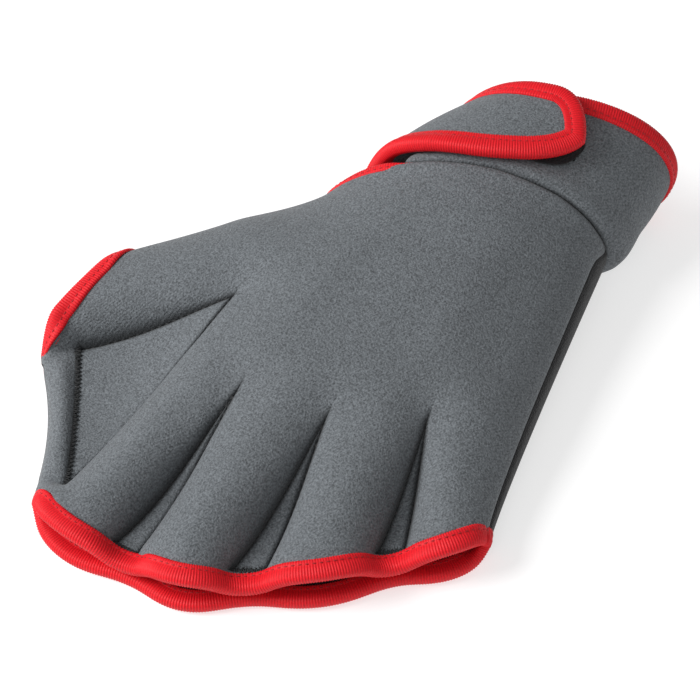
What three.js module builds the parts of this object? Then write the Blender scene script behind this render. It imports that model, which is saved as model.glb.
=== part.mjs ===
// A left-hand webbed swim glove of laminated neoprene, lying palm down.
// +X points to the little finger side, +Y to the wrist, +Z up from the table. Lengths are in millimetres.
import * as THREE from "three";

const { lerp, clamp, degToRad } = THREE.MathUtils;

// Driving dimensions of the hand.
const HAND_SPAN = 148; // thumb rim to the little finger side, seen from above
const HAND_LENGTH = 165; // middle finger rim to the little finger end of the wrist seam
const BACK_HEIGHT = 44; // back of the hand over the table, at the wrist seam
const WALL = 2.2; // laminated neoprene of the hand
const APEX_DIMPLE = 4; // how far the back is pinched in where a web starts
const SEAM_SINK = 3; // extra depth of the web seams half way along the fingers
const HEM = 7.5; // from a finger web's zigzag seam to the rim
const FOLD_WIDTH = 10.5; // from the thumb web's zigzag seam to its rolled outer edge
const FOLD_INSET = 4; // how far the web's outer edge curves in between thumb and index finger
const FOLD_ROLL = 2.6; // how far the rolled web edge stands up
const DIMPLE_SOFTNESS = 7; // radius that the back is softened with above the webs
const CORNER_SOFTNESS = 0.6; // radius that a web's seam is softened with

// Driving dimensions of the cuff and its strap.
const CUFF_LENGTH = 47; // wrist seam to the cuff's open edge, on the thumb side
const CUFF_WIDTH = 63; // across the cuff's open edge
const CUFF_CENTRE = 0.201; // middle of the open edge, as a share of HAND_SPAN
const CUFF_HEIGHT = 46.5; // top of the open edge over the table
const CUFF_SIDE = 19.5; // height of the open edge's widest place
const CUFF_LIFT = 1.6; // the open edge's lowest place over the table
const CUFF_SLANT = 0.26; // how much further out the open edge is on the little finger side, over its width
const CUFF_BOW = 0.04; // how far the open edge curves in between its sides, over its width
const CUFF_WAIST = 1.5; // how far the thumb side curves in half way along the cuff
const CUFF_BELLY = 2.5; // how far the little finger side curves out there
const CUFF_CORNER = 15; // reach of the rounding at the sides of the open edge, underneath
const CUFF_WALL = 2.6;
const STRAP_WALL = 2.6;
const STRAP_LIFT = 3.2; // clear height of the strap over the cuff, for the hook patch and both bindings
const STRAP_BULGE = 2.2; // how far the strap's middle stands out further, where it comes round the side
const HOOK_THICKNESS = 1.2;

// Driving dimensions of the sewn edges.
const TAPE = 1; // thickness of the folded binding tape
const TAPE_WIDTH = 5.2; // how far the tape reaches in from an edge
const SLIT_TAPE_WIDTH = 3.6; // the same, on the hand's edge under the strap
const GAP = 0.3; // clearance between pieces that touch
const WEB_LAP = 2.4; // how far a web panel reaches under the back on each side
const WEB_SHORT = 0.9; // a web panel ends this far before its zigzag seam
const WEB_DROP = 1.7; // from the seam's edge down to the web panel
const APEX_DROP = 1.2; // a web panel starts this much lower, under the pinched back
const TABLE_CLEARANCE = 0.1; // the bindings stay this far over the table

// How finely the sheets are divided.
const CHANNEL_COLUMNS = 8;
const PALM_CHANNEL_COLUMNS = 4;
const FOLD_COLUMNS = 6;
const WEB_COLUMNS = 2;
const WRIST_ROWS = 6;
const FINGER_ROWS = 7;
const CUFF_COLUMNS = 32;
const CUFF_ROWS = 4;
const STRAP_STRAIGHT_COLUMNS = 9;
const STRAP_TIP_COLUMNS = 6;

// The cuff starts on the back, hidden under the strap, and ends at the radial side, where the strap starts.
const CUFF_START = degToRad(76);
// The strap's outline over the cuff. Lengths along it are angles, lengths across are shares of the cuff.
const STRAP = {
  lower: 0.05,
  rootLower: 0.22,
  upper: 0.93,
  straight: degToRad(84),
  tip: degToRad(113.5),
  upperTaper: 1.7, // above 1 the tip's upper side is less full than its lower side
};
const STRAP_RISE = degToRad(80); // the strap has risen over the cuff by this angle
// The hook patch on the cuff, under the strap's tip.
const HOOK = { from: degToRad(84), to: degToRad(116), lower: 0.25, upper: 0.72 };

// Plan of the hand, as shares of HAND_SPAN (x) and HAND_LENGTH (y) from a point under the knuckles.
// The borders of the five finger channels leave the wrist seam at these shares of its length.
const SEAM_RADIAL = { x: -0.175, y: 0.202 };
const SEAM_ULNAR = { x: 0.385, y: 0.352 };
const SEAM_BOW = 0.024;
const SEAM_SHARES = [0, 0.14, 0.34, 0.57, 0.81, 1];
// The radial edge, the four places where a web starts, and the ulnar edge.
const KNUCKLES = [
  { x: -0.331, y: 0.082 },
  { x: -0.203, y: -0.103 },
  { x: -0.078, y: -0.282 },
  { x: 0.105, y: -0.258 },
  { x: 0.274, y: -0.167 },
  { x: 0.445, y: -0.085 },
];
// Both ends of each channel's rim. The rim bows out between them by a share of their distance.
const RIMS = [
  { name: "thumb", left: { x: -0.481, y: -0.066 }, right: { x: -0.518, y: -0.318 }, bow: 0.01 },
  { name: "index", left: { x: -0.339, y: -0.597 }, right: { x: -0.129, y: -0.638 }, bow: 0.15 },
  { name: "middle", left: { x: -0.066, y: -0.635 }, right: { x: 0.099, y: -0.594 }, bow: 0.17 },
  { name: "ring", left: { x: 0.156, y: -0.56 }, right: { x: 0.331, y: -0.438 }, bow: 0.1 },
  { name: "little", left: { x: 0.362, y: -0.408 }, right: { x: 0.484, y: -0.287 }, bow: 0.13 },
];
// Both ends of the zigzag seam that ends each web.
const ZIGZAGS = [
  { left: { x: -0.455, y: -0.278 }, right: { x: -0.295, y: -0.548 } },
  { left: { x: -0.148, y: -0.603 }, right: { x: -0.095, y: -0.605 } },
  { left: { x: 0.08, y: -0.556 }, right: { x: 0.139, y: -0.527 } },
  { left: { x: 0.307, y: -0.405 }, right: { x: 0.335, y: -0.379 } },
];
// Both ends of the thumb web's rolled outer edge, where it goes under the two bindings.
const FOLD = { left: { x: -0.505, y: -0.334 }, right: { x: -0.355, y: -0.561 } };
// Heights of each channel as shares of BACK_HEIGHT: its crest, and the side seam where back meets palm.
const HEIGHTS = [
  { crest: { wrist: 1, knuckle: 0.72, rim: 0.5 }, side: { wrist: 0.36, knuckle: 0.27, rim: 0.17 } },
  { crest: { wrist: 1, knuckle: 0.7, rim: 0.36 }, side: { wrist: 0.36, knuckle: 0.22, rim: 0.15 } },
  { crest: { wrist: 1, knuckle: 0.7, rim: 0.36 }, side: { wrist: 0.36, knuckle: 0.2, rim: 0.15 } },
  { crest: { wrist: 1, knuckle: 0.66, rim: 0.36 }, side: { wrist: 0.34, knuckle: 0.2, rim: 0.15 } },
  { crest: { wrist: 1, knuckle: 0.6, rim: 0.36 }, side: { wrist: 0.34, knuckle: 0.2, rim: 0.15 } },
];
const WEB_RIM_HEIGHTS = [0.255, 0.21, 0.21, 0.21]; // top of the hem past each web, as shares of BACK_HEIGHT
// How far in from their edges the surfaces round off, as shares of HAND_SPAN.
const ROUNDING = { channel: 0.091, knuckle: 0.17, palmWrist: 0.11, palmRim: 0.044 };

const tapeStack = GAP + TAPE;
const rimLift = tapeStack + TABLE_CLEARANCE;
const channelReach = ROUNDING.channel * HAND_SPAN;
const knuckleReach = ROUNDING.knuckle * HAND_SPAN;
const palmReach = { wrist: ROUNDING.palmWrist * HAND_SPAN, rim: ROUNDING.palmRim * HAND_SPAN };

const steps = (from, to, count) => Array.from({ length: count + 1 }, (_, i) => lerp(from, to, i / count));
const smooth = (t) => {
  const s = clamp(t, 0, 1);
  return s * s * (3 - 2 * s);
};
const between = (low, high, x) => smooth((x - low) / (high - low));

// A quarter circle's rise: 0 at an edge, 1 from reach inwards.
function roundOver(distance, reach) {
  const t = clamp(distance / reach, 0, 1);
  return Math.sqrt(1 - (1 - t) ** 2);
}

const plan = (share) => new THREE.Vector2(share.x * HAND_SPAN, share.y * HAND_LENGTH);

// A point of the wrist seam, at a share of the way from the radial to the ulnar side.
function seamPoint(share) {
  const p = plan(SEAM_RADIAL).lerp(plan(SEAM_ULNAR), share);
  p.y += SEAM_BOW * HAND_LENGTH * 4 * share * (1 - share);
  return p;
}

const quadratic = (v) => [((v - 1) * (v - 2)) / 2, v * (2 - v), (v * (v - 1)) / 2];

// Rows run from the wrist seam (0) to the rim (LAST_ROW). The binding reaches in as far as TAPE_ROW.
const KNUCKLE_ROW = WRIST_ROWS;
const ZIGZAG_ROW = WRIST_ROWS + FINGER_ROWS;
const TAPE_ROW = ZIGZAG_ROW + 2;
const LAST_ROW = TAPE_ROW + 1;
const ROW_MARKS = [0, KNUCKLE_ROW, ZIGZAG_ROW, TAPE_ROW, LAST_ROW];

// A channel's border: its places at ROW_MARKS, and there v, which is 0 at the seam, 1 at the knuckles
// and 2 at the rim.
function makeBorder(channel, side) {
  const i = channel + side;
  const wrist = seamPoint(SEAM_SHARES[i]);
  const knuckle = plan(KNUCKLES[i]);
  const rim = plan(side ? RIMS[channel].right : RIMS[channel].left);
  if (i === 0 || i === KNUCKLES.length - 1) {
    const length = rim.distanceTo(knuckle);
    return { curve: [wrist, knuckle, rim], vs: [0, 1, 2 - HEM / length, 2 - TAPE_WIDTH / length, 2] };
  }
  const zigzag = plan(side ? ZIGZAGS[i - 1].left : ZIGZAGS[i - 1].right);
  const hem = zigzag.distanceTo(rim);
  const tape = i === 1 ? plan(side ? FOLD.left : FOLD.right) : rim.clone().lerp(zigzag, TAPE_WIDTH / hem);
  const points = [wrist, knuckle, zigzag, tape, rim];
  const runs = [0, 0, knuckle.distanceTo(zigzag), zigzag.distanceTo(tape), tape.distanceTo(rim)];
  const total = runs.reduce((a, b) => a + b);
  let run = 0;
  const vs = runs.map((length, k) => (k === 0 ? 0 : 1 + (run += length) / total));
  return { points, vs };
}
const borders = RIMS.map((_, channel) => [makeBorder(channel, 0), makeBorder(channel, 1)]);

// The place of a border at a row.
function borderAt(channel, side, row) {
  const { curve, points, vs } = borders[channel][side];
  const k = clamp(ROW_MARKS.findIndex((mark) => mark >= row) - 1, 0, ROW_MARKS.length - 2);
  const share = (row - ROW_MARKS[k]) / (ROW_MARKS[k + 1] - ROW_MARKS[k]);
  const v = lerp(vs[k], vs[k + 1], share);
  if (points) return { p: points[k].clone().lerp(points[k + 1], share), v };
  const p = new THREE.Vector2();
  quadratic(v).forEach((weight, i) => p.addScaledVector(curve[i], weight));
  return { p, v };
}

function segmentDistance(p, from, to) {
  const side = to.clone().sub(from);
  const t = clamp(p.clone().sub(from).dot(side) / side.lengthSq(), 0, 1);
  return p.distanceTo(from.clone().addScaledVector(side, t));
}

// A quantity that changes from the wrist to the knuckles to the rim, smoothly.
function along(value, v) {
  const [a, b, c] = quadratic(v);
  return a * value.wrist + b * value.knuckle + c * value.rim;
}

// The crest or side height, from channel to channel at the wrist and each channel's own at the rim.
function channelHeight(kind, channel, t, v) {
  const q = lerp(channel + t, channel + 0.5, smooth(v - 1)) - 0.5;
  const low = clamp(Math.floor(q), 0, HEIGHTS.length - 1);
  const high = clamp(low + 1, 0, HEIGHTS.length - 1);
  return (
    BACK_HEIGHT *
    lerp(along(HEIGHTS[low][kind], v), along(HEIGHTS[high][kind], v), smooth(q - low))
  );
}

// Distance from a plan point to the two side seams of one web.
function webDistance(web, p) {
  return Math.min(
    ...[borders[web - 1][1], borders[web][0]].flatMap(({ points }) =>
      [1, 2, 3].map((k) => segmentDistance(p, points[k], points[k + 1])),
    ),
  );
}

// A place on the hand: strip 0, 2, 4, 6 and 8 are the channels, thumb first, and 1, 3, 5 and 7 the webs.
// t runs across the strip from the radial to the ulnar side.
function placeOf(strip, t, row) {
  const isWeb = strip % 2 === 1;
  const channels = isWeb ? [(strip - 1) / 2, (strip + 1) / 2] : [strip / 2, strip / 2];
  const ends = channels.map((channel, k) => borderAt(channel, isWeb ? 1 - k : k, row));
  const v = lerp(ends[0].v, ends[1].v, t);
  const p = ends[0].p.clone().lerp(ends[1].p, t);
  const level = (kind) =>
    isWeb
      ? lerp(channelHeight(kind, channels[0], 1, v), channelHeight(kind, channels[1], 0, v), t)
      : channelHeight(kind, channels[0], t, v);
  const place = { p, strip, t, row, v, crest: level("crest"), side: level("side") };

  // Distances across the row, from the radial and the ulnar edge.
  const across = RIMS.flatMap((_, channel) => {
    const [left, right] = [0, 1].map((side) => borderAt(channel, side, row).p);
    const before = channel ? borderAt(channel - 1, 1, row).p.distanceTo(left) : 0;
    return [before, left.distanceTo(right)];
  }).slice(1);
  place.rowWidth = across.reduce((a, b) => a + b);
  place.fromRadial = across.slice(0, strip).reduce((a, b) => a + b, 0) + across[strip] * t;
  place.fromUlnar = place.rowWidth - place.fromRadial;

  // A rim bows out between its ends, and the web's outer edge between thumb and index finger curves in.
  const outward = ends[1].p.clone().sub(ends[0].p).rotateAround(new THREE.Vector2(), -Math.PI / 2);
  const hump = 4 * t * (1 - t);
  const fromCorner = (border, q) => segmentDistance(q, border.points[3], border.points[4]);
  const [thumb, index] = [borders[0][1], borders[1][0]];
  place.fromFold = Infinity;
  if (!isWeb && v > 1) p.addScaledVector(outward, RIMS[channels[0]].bow * hump * (v - 1) ** 2);
  if (strip === 0) place.fromFold = fromCorner(thumb, p);
  if (strip === 2) place.fromFold = fromCorner(index, p);
  if (strip === 1 && row >= ZIGZAG_ROW) {
    place.fromFold = lerp(fromCorner(thumb, ends[0].p), fromCorner(index, ends[1].p), t);
    const inset = FOLD_INSET * hump * between(1.5 * FOLD_WIDTH, 0, place.fromFold);
    p.addScaledVector(outward.normalize(), -inset);
  }
  return place;
}

// How far each web pinches the surface at a place, 1 on its seams and 0 a channel's half width away.
function pinches(place) {
  const softness = lerp(DIMPLE_SOFTNESS, CORNER_SOFTNESS, between(0.9, 1.25, place.v));
  return [1, 2, 3, 4].map((web) => {
    const d = place.strip === 2 * web - 1 ? 0 : webDistance(web, place.p);
    return 1 - roundOver(Math.hypot(d, softness) - softness, channelReach);
  });
}

// Outer surface of the back: height over the table.
function backHeight(place) {
  const { v, crest, side } = place;
  const reach =
    v <= 1
      ? lerp(place.rowWidth / 2, knuckleReach, smooth(v))
      : lerp(knuckleReach, channelReach, smooth(v - 1));
  const edge =
    roundOver(place.fromRadial, reach) *
    roundOver(place.fromUlnar, reach) *
    roundOver(place.fromFold, FOLD_WIDTH);
  const w = clamp(v - 1, 0, 1);
  const sink = SEAM_SINK * Math.sin(Math.PI * w);
  const drops = WEB_RIM_HEIGHTS.map(
    (height) => lerp(APEX_DIMPLE, crest - height * BACK_HEIGHT, smooth(w)) + sink,
  );
  const sunk = pinches(place).reduce((sum, pinch, i) => sum + pinch * drops[i], 0);
  const z = side + edge * (crest - side - Math.min(sunk, Math.max(...drops)));
  if (place.strip !== 1 || place.row <= ZIGZAG_ROW) return z;
  const roll = FOLD_ROLL * Math.sin((Math.PI * place.fromFold) / FOLD_WIDTH);
  return z + roll * roundOver(Math.min(place.t, 1 - place.t), 0.3);
}

// Outer surface of the palm: height over the table, 0 where it lies flat.
function palmHeight(place) {
  const { v, side } = place;
  const reach = lerp(palmReach.wrist, palmReach.rim, v / 2);
  const edge =
    roundOver(place.fromRadial, reach) *
    roundOver(place.fromUlnar, reach) *
    roundOver(place.fromFold, FOLD_WIDTH);
  return side * (1 - edge) + rimLift * between(1.55, 1.9, v) * edge;
}

// A sheet's outer surface, as points and triangles facing out. Points at one place are shared.
class Sheet {
  constructor() {
    this.points = [];
    this.faces = [];
    this.tags = [];
    this.index = new Map();
    this.marks = new Map();
  }
  point(p, tag = {}) {
    const key = [p.x, p.y, p.z].map((c) => Math.round(c * 1000)).join();
    if (!this.index.has(key)) {
      this.index.set(key, this.points.length);
      this.points.push(p.clone());
      this.tags.push({});
    }
    const i = this.index.get(key);
    Object.assign(this.tags[i], tag);
    return i;
  }
  face(a, b, c) {
    if (a !== b && b !== c && c !== a) this.faces.push([a, b, c]);
  }
  quad(a, b, c, d) {
    const [p, q, r, s] = [a, b, c, d].map((i) => this.points[i]);
    if (p.distanceToSquared(r) <= q.distanceToSquared(s)) {
      this.face(a, b, c);
      this.face(a, c, d);
    } else {
      this.face(a, b, d);
      this.face(b, c, d);
    }
  }
  normals() {
    const sums = this.points.map(() => new THREE.Vector3());
    for (const f of this.faces) {
      const [a, b, c] = f.map((i) => this.points[i]);
      const n = b.clone().sub(a).cross(c.clone().sub(a));
      f.forEach((i) => sums[i].add(n));
    }
    return sums.map((n, i) => {
      const { square } = this.tags[i];
      if (square) square.forEach((d) => n.addScaledVector(d, -n.dot(d)));
      return n.normalize();
    });
  }
  // The closed solid between this surface and the one that lies a wall further in.
  thicken(wall) {
    const normals = this.normals();
    const n = this.points.length;
    const inner = this.points.map((p, i) => p.clone().addScaledVector(normals[i], -wall));
    const edges = new Map();
    const faces = [];
    for (const [a, b, c] of this.faces) {
      faces.push([a, b, c], [c + n, b + n, a + n]);
      for (const [s, e] of [[a, b], [b, c], [c, a]]) {
        if (edges.has(`${e},${s}`)) edges.delete(`${e},${s}`);
        else edges.set(`${s},${e}`, [s, e]);
      }
    }
    for (const [s, e] of edges.values()) faces.push([e, s, s + n], [e, s + n, e + n]);
    return solidGeometry([...this.points, ...inner], faces);
  }
}

function solidGeometry(points, faces) {
  const geometry = new THREE.BufferGeometry().setFromPoints(points);
  geometry.setIndex(faces.flat());
  geometry.computeVertexNormals();
  return geometry;
}

const UP = new THREE.Vector3(0, 0, 1);
const seamDirection = new THREE.Vector3(
  ...plan(SEAM_RADIAL).sub(plan(SEAM_ULNAR)).rotateAround(new THREE.Vector2(), -Math.PI / 2).normalize(),
  0,
);

// Where on the hand a sheet's edge must be cut square: level at the side seams, upright at the wrist.
function squareTo(place) {
  const square = [];
  if (Math.min(place.fromRadial, place.fromUlnar, place.fromFold) < 1e-6) square.push(UP);
  if (place.row === 0) square.push(seamDirection);
  return square.length ? { square } : {};
}

const handPoint = (place, height, lift = 0) =>
  new THREE.Vector3(place.p.x, place.p.y, height(place) + lift);

// Even steps across a strip, closer together at an edge that turns under.
function across(strip, columns) {
  return Array.from({ length: columns + 1 }, (_, k) => {
    const t = k / columns;
    return strip % 2 === 1 ? t : (1 - Math.cos(Math.PI * t)) / 2;
  });
}

const stripColumns = (strip, channelColumns) =>
  strip === 1 ? FOLD_COLUMNS : strip % 2 === 1 ? WEB_COLUMNS : channelColumns;

// The sheet of the back or the palm. The back has an opening for each web, up to its zigzag seam.
function handSheet(height, channelColumns, openWebs, sideLift, facing) {
  const sheet = new Sheet();
  for (let strip = 0; strip < 2 * RIMS.length - 1; strip++) {
    const isWeb = strip % 2 === 1;
    const columns = stripColumns(strip, channelColumns);
    const ts = across(strip, columns);
    const first = !isWeb ? 0 : openWebs ? ZIGZAG_ROW : KNUCKLE_ROW;
    const last = strip === 1 ? TAPE_ROW : LAST_ROW;
    const at = (k, row) => {
      const place = placeOf(strip, ts[k], row);
      const i = sheet.point(handPoint(place, height, sideLift), squareTo(place));
      sheet.marks.set(`${strip} ${k} ${row}`, i);
      return i;
    };
    for (let row = first; row < last; row++)
      for (let k = 0; k < columns; k++) {
        const corners = [at(k, row), at(k, row + 1), at(k + 1, row + 1), at(k + 1, row)];
        sheet.quad(...(facing > 0 ? corners : corners.reverse()));
      }
  }
  return sheet;
}

// A web: a panel that hangs a little under its seams, from where the web starts to the zigzag seam.
function webSheet(web, columns) {
  const strip = 2 * web - 1;
  const sheet = new Sheet();
  const at = (k, row) => {
    const place = placeOf(strip, k / columns, row);
    const widest = row === KNUCKLE_ROW ? ZIGZAG_ROW : row; // a web has no width where it starts
    const outward = placeOf(strip, 1, widest).p.sub(placeOf(strip, 0, widest).p).normalize();
    const lap = WEB_LAP * (2 * (k / columns) - 1) * between(-0.5, 1.5, row - KNUCKLE_ROW + 1);
    const p = place.p.clone().addScaledVector(outward, lap);
    const toRim = placeOf(strip, 0.5, TAPE_ROW).p.sub(placeOf(strip, 0.5, KNUCKLE_ROW).p).normalize();
    if (row === ZIGZAG_ROW) p.addScaledVector(toRim, -WEB_SHORT);
    const z = backHeight(place) - WEB_DROP - APEX_DROP * (1 - between(0, 2, row - KNUCKLE_ROW));
    return sheet.point(new THREE.Vector3(p.x, p.y, z));
  };
  for (let row = KNUCKLE_ROW; row < ZIGZAG_ROW; row++)
    for (let k = 0; k < columns; k++)
      sheet.quad(at(k, row), at(k, row + 1), at(k + 1, row + 1), at(k + 1, row));
  return sheet;
}

// The folded tape's section: d runs out past the edge, n out of the surface. Stations are 0 at the edge
// and 1 at the tape's stitched side.
function tapeSection(wall) {
  return [
    { station: 1, d: 0, n: tapeStack },
    { station: 0, d: 0, n: tapeStack },
    { station: 0, d: tapeStack, n: -0.1 * wall },
    { station: 0, d: tapeStack, n: -0.9 * wall },
    { station: 0, d: 0, n: -wall - tapeStack },
    { station: 1, d: 0, n: -wall - tapeStack },
    { station: 1, d: 0, n: -wall - GAP },
    { station: 0, d: GAP, n: -wall - GAP },
    { station: 0, d: GAP, n: GAP },
    { station: 1, d: 0, n: GAP },
  ];
}

// Binding tape folded round an edge. A stop holds two stations on the surface with their outward normals.
function bindingGeometry(stops, wall, closed = false) {
  const section = tapeSection(wall);
  const stopAt = (i) => (closed ? (i + stops.length) % stops.length : clamp(i, 0, stops.length - 1));
  const neighbour = (i) => stops[stopAt(i)][0].p;
  const points = stops.flatMap((stations, i) => {
    const inward = stations[1].p.clone().sub(stations[0].p);
    const outward = neighbour(i + 1).clone().sub(neighbour(i - 1)).cross(stations[0].normal).normalize();
    if (outward.dot(inward) > 0) outward.negate();
    return section.map(({ station, d, n }) =>
      stations[station].p.clone().addScaledVector(outward, d).addScaledVector(stations[station].normal, n),
    );
  });
  const size = section.length;
  const faces = [];
  for (let i = 0; i < (closed ? stops.length : stops.length - 1); i++) {
    const j = (i + 1) % stops.length;
    const insideToEdge = stops[i][1].p.distanceTo(stops[j][0].p) <= stops[i][0].p.distanceTo(stops[j][1].p);
    for (let k = 0; k < size; k++) {
      const next = (k + 1) % size;
      const [a, b, c, d] = [i * size + k, i * size + next, j * size + next, j * size + k];
      // A leg of the tape folds along the same diagonals as the sheet that it lies on.
      const isLeg = section[k].station !== section[next].station;
      const crossed = isLeg && (section[k].station === 1) !== insideToEdge;
      if (crossed) faces.push([a, b, d], [b, c, d]);
      else faces.push([a, b, c], [a, c, d]);
    }
  }
  if (!closed) {
    const outline = section.map(({ station, d, n }) => new THREE.Vector2(d - station * TAPE_WIDTH, n));
    const turn = THREE.ShapeUtils.area(outline);
    const last = (stops.length - 1) * size;
    for (const cap of THREE.ShapeUtils.triangulateShape(outline, [])) {
      const same = THREE.ShapeUtils.area(cap.map((i) => outline[i])) * turn > 0;
      const [a, b, c] = same ? cap : [cap[0], cap[2], cap[1]];
      faces.push([a, c, b], [a + last, b + last, c + last]);
    }
  }
  return solidGeometry(points, facingOut(points, faces));
}

// Turns all faces of a closed body round if they point in.
function facingOut(points, faces) {
  const volume = faces.reduce((sum, f) => {
    const [a, b, c] = f.map((i) => points[i]);
    return sum + a.dot(b.clone().cross(c));
  }, 0);
  return volume < 0 ? faces.map(([a, b, c]) => [a, c, b]) : faces;
}

// Stops along a sheet's edge, from the marks of their places at the edge and further in.
function stopsOf(sheet, marks) {
  const normals = sheet.normals();
  const stationAt = (point) => ({ p: sheet.points[point], normal: normals[point] });
  return marks.map((pair) => pair.map((mark) => stationAt(sheet.marks.get(mark))));
}

// The marks along one edge of the hand, from the radial to the ulnar side of the given strips.
const edgeMarks = (strips, channelColumns, edgeRow, insideRow) =>
  strips.flatMap((strip, order) =>
    steps(0, stripColumns(strip, channelColumns), stripColumns(strip, channelColumns))
      .slice(order === 0 ? 0 : 1)
      .map((k) => [`${strip} ${k} ${edgeRow}`, `${strip} ${k} ${insideRow}`]),
  );

// The cuff is a loft from the wrist seam (f = 0) to its open edge (f = 1). Its angle runs from the radial
// side (0) over the back to the ulnar side (half a turn) and back under the palm.
function cuffPoint(angle, f) {
  const u = (1 - Math.cos(angle)) / 2;
  const onBack = angle <= Math.PI;
  const channel = clamp(SEAM_SHARES.findIndex((share) => share >= u) - 1, 0, RIMS.length - 1);
  const [low, high] = [SEAM_SHARES[channel], SEAM_SHARES[channel + 1]];
  const place = placeOf(2 * channel, (u - low) / (high - low), 0);
  const seam = handPoint(place, onBack ? backHeight : palmHeight);
  const hump = 4 * u * (1 - u);
  const corner = roundOver(u * CUFF_WIDTH, CUFF_CORNER) * roundOver((1 - u) * CUFF_WIDTH, CUFF_CORNER);
  const open = new THREE.Vector3(
    CUFF_CENTRE * HAND_SPAN + (u - 0.5) * CUFF_WIDTH,
    SEAM_RADIAL.y * HAND_LENGTH + CUFF_LENGTH + (CUFF_SLANT * u - CUFF_BOW * hump) * CUFF_WIDTH,
    onBack
      ? lerp(CUFF_SIDE, CUFF_HEIGHT, Math.sqrt(hump))
      : lerp(CUFF_SIDE, CUFF_LIFT, corner),
  );
  const shift = CUFF_WAIST * (1 - u) ** 2 + CUFF_BELLY * u ** 2;
  return seam.lerp(open, f).add(new THREE.Vector3(4 * f * (1 - f) * shift, 0, 0));
}

// A place on or over the cuff, with the surface's outward normal.
function overCuff(angle, f, lift = 0) {
  const step = 0.01;
  const [before, after] = [Math.max(angle - step, 0), Math.min(angle + step, 2 * Math.PI)];
  const round = cuffPoint(after, f).sub(cuffPoint(before, f));
  const lengthways = cuffPoint(angle, 1).sub(cuffPoint(angle, 0));
  const normal = round.cross(lengthways).normalize();
  return { p: cuffPoint(angle, f).addScaledVector(normal, lift), normal };
}

// A sheet from rows of places, each row running the same way round the cuff.
function cuffSheet(rows, squareTo = () => []) {
  const sheet = new Sheet();
  const at = (i, j) => {
    const square = squareTo(i, j);
    const point = sheet.point(rows[i][j].p, square.length ? { square } : {});
    sheet.marks.set(`${i} ${j}`, point);
    return point;
  };
  for (let i = 0; i < rows.length - 1; i++)
    for (let j = 0; j < rows[i].length - 1; j++)
      sheet.quad(at(i, j), at(i, j + 1), at(i + 1, j + 1), at(i + 1, j));
  return sheet;
}

const ruling = (angle) => cuffPoint(angle, 0).distanceTo(cuffPoint(angle, 1));

const cuffAngles = steps(CUFF_START, 2 * Math.PI, CUFF_COLUMNS);
const cuffRows = steps(0, CUFF_ROWS, CUFF_ROWS).map((row) =>
  cuffAngles.map((angle) => {
    const [first, tape] = [GAP / ruling(angle), 1 - TAPE_WIDTH / ruling(angle)];
    return overCuff(angle, row === CUFF_ROWS ? 1 : lerp(first, tape, row / (CUFF_ROWS - 1)));
  }),
);
const cuffMarks = cuffAngles.map((_, j) => [`${CUFF_ROWS} ${j}`, `${CUFF_ROWS - 1} ${j}`]);

// A place on the strap: its outer face is a wall and the clear height over the cuff.
function overStrap(angle, f) {
  const lift = (STRAP_LIFT + STRAP_WALL) * between(0, STRAP_RISE, angle);
  const aroundSide = between(0, 0.4 * STRAP_RISE, angle) * between(STRAP_RISE, 0.4 * STRAP_RISE, angle);
  const place = overCuff(angle, f, lift + STRAP_BULGE * aroundSide * (4 * f * (1 - f)) ** 2);
  place.p.z += GAP;
  return place;
}

// One side of the strap, a distance in from its edge: even up to where the tip starts, then round it.
function strapLine(side, inset) {
  const middle = (STRAP.lower + STRAP.upper) / 2;
  const half = (STRAP.upper - STRAP.lower) / 2;
  const straight = steps(0, STRAP.straight, STRAP_STRAIGHT_COLUMNS).map((angle) => {
    const fromRoot = between(0.3 * STRAP_RISE, STRAP_RISE, angle);
    const start = side < 0 ? lerp(STRAP.rootLower, STRAP.lower, fromRoot) : STRAP.upper;
    const share = clamp(inset / (half * ruling(angle)), 0, 1);
    return overStrap(angle, lerp(start, middle, share));
  });
  const reach = 1 - clamp(inset / (half * ruling(STRAP.straight)), 0, 1);
  const taper = side < 0 ? 1 : STRAP.upperTaper;
  const tip = steps(0, Math.PI / 2, STRAP_TIP_COLUMNS).slice(1).map((turn) =>
    overStrap(
      STRAP.straight + reach * (STRAP.tip - STRAP.straight) * Math.sin(turn),
      middle + side * reach * half * Math.max(Math.cos(turn), 0) ** taper,
    ),
  );
  return [...straight, ...tip];
}
const strapRows = [
  strapLine(-1, 0),
  strapLine(-1, TAPE_WIDTH),
  strapLine(-1, CUFF_LENGTH),
  strapLine(1, TAPE_WIDTH),
  strapLine(1, 0),
];
const strapColumns = strapRows[0].map((_, j) => j);
const strapMarks = [
  ...strapColumns.map((j) => [`0 ${j}`, `1 ${j}`]),
  ...strapColumns.reverse().slice(1).map((j) => [`4 ${j}`, `3 ${j}`]),
];

const hookRows = steps(HOOK.lower, HOOK.upper, 3).map((f) =>
  steps(HOOK.from, HOOK.to, 8).map((angle) => overCuff(angle, f, GAP + HOOK_THICKNESS)),
);

const NEOPRENE = { color: 0x63686c, roughness: 0.85, metalness: 0 };
const PALM = { color: 0x1c1c1e, roughness: 0.8, metalness: 0 };
const TAPE_RED = { color: 0xc81f2b, roughness: 0.7, metalness: 0 };
const HOOK_BLACK = { color: 0x141416, roughness: 0.9, metalness: 0 };

const glove = new THREE.Group();
function addPiece(name, geometry, finish) {
  const mesh = new THREE.Mesh(geometry, new THREE.MeshStandardMaterial(finish));
  mesh.name = name;
  glove.add(mesh);
}

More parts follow.
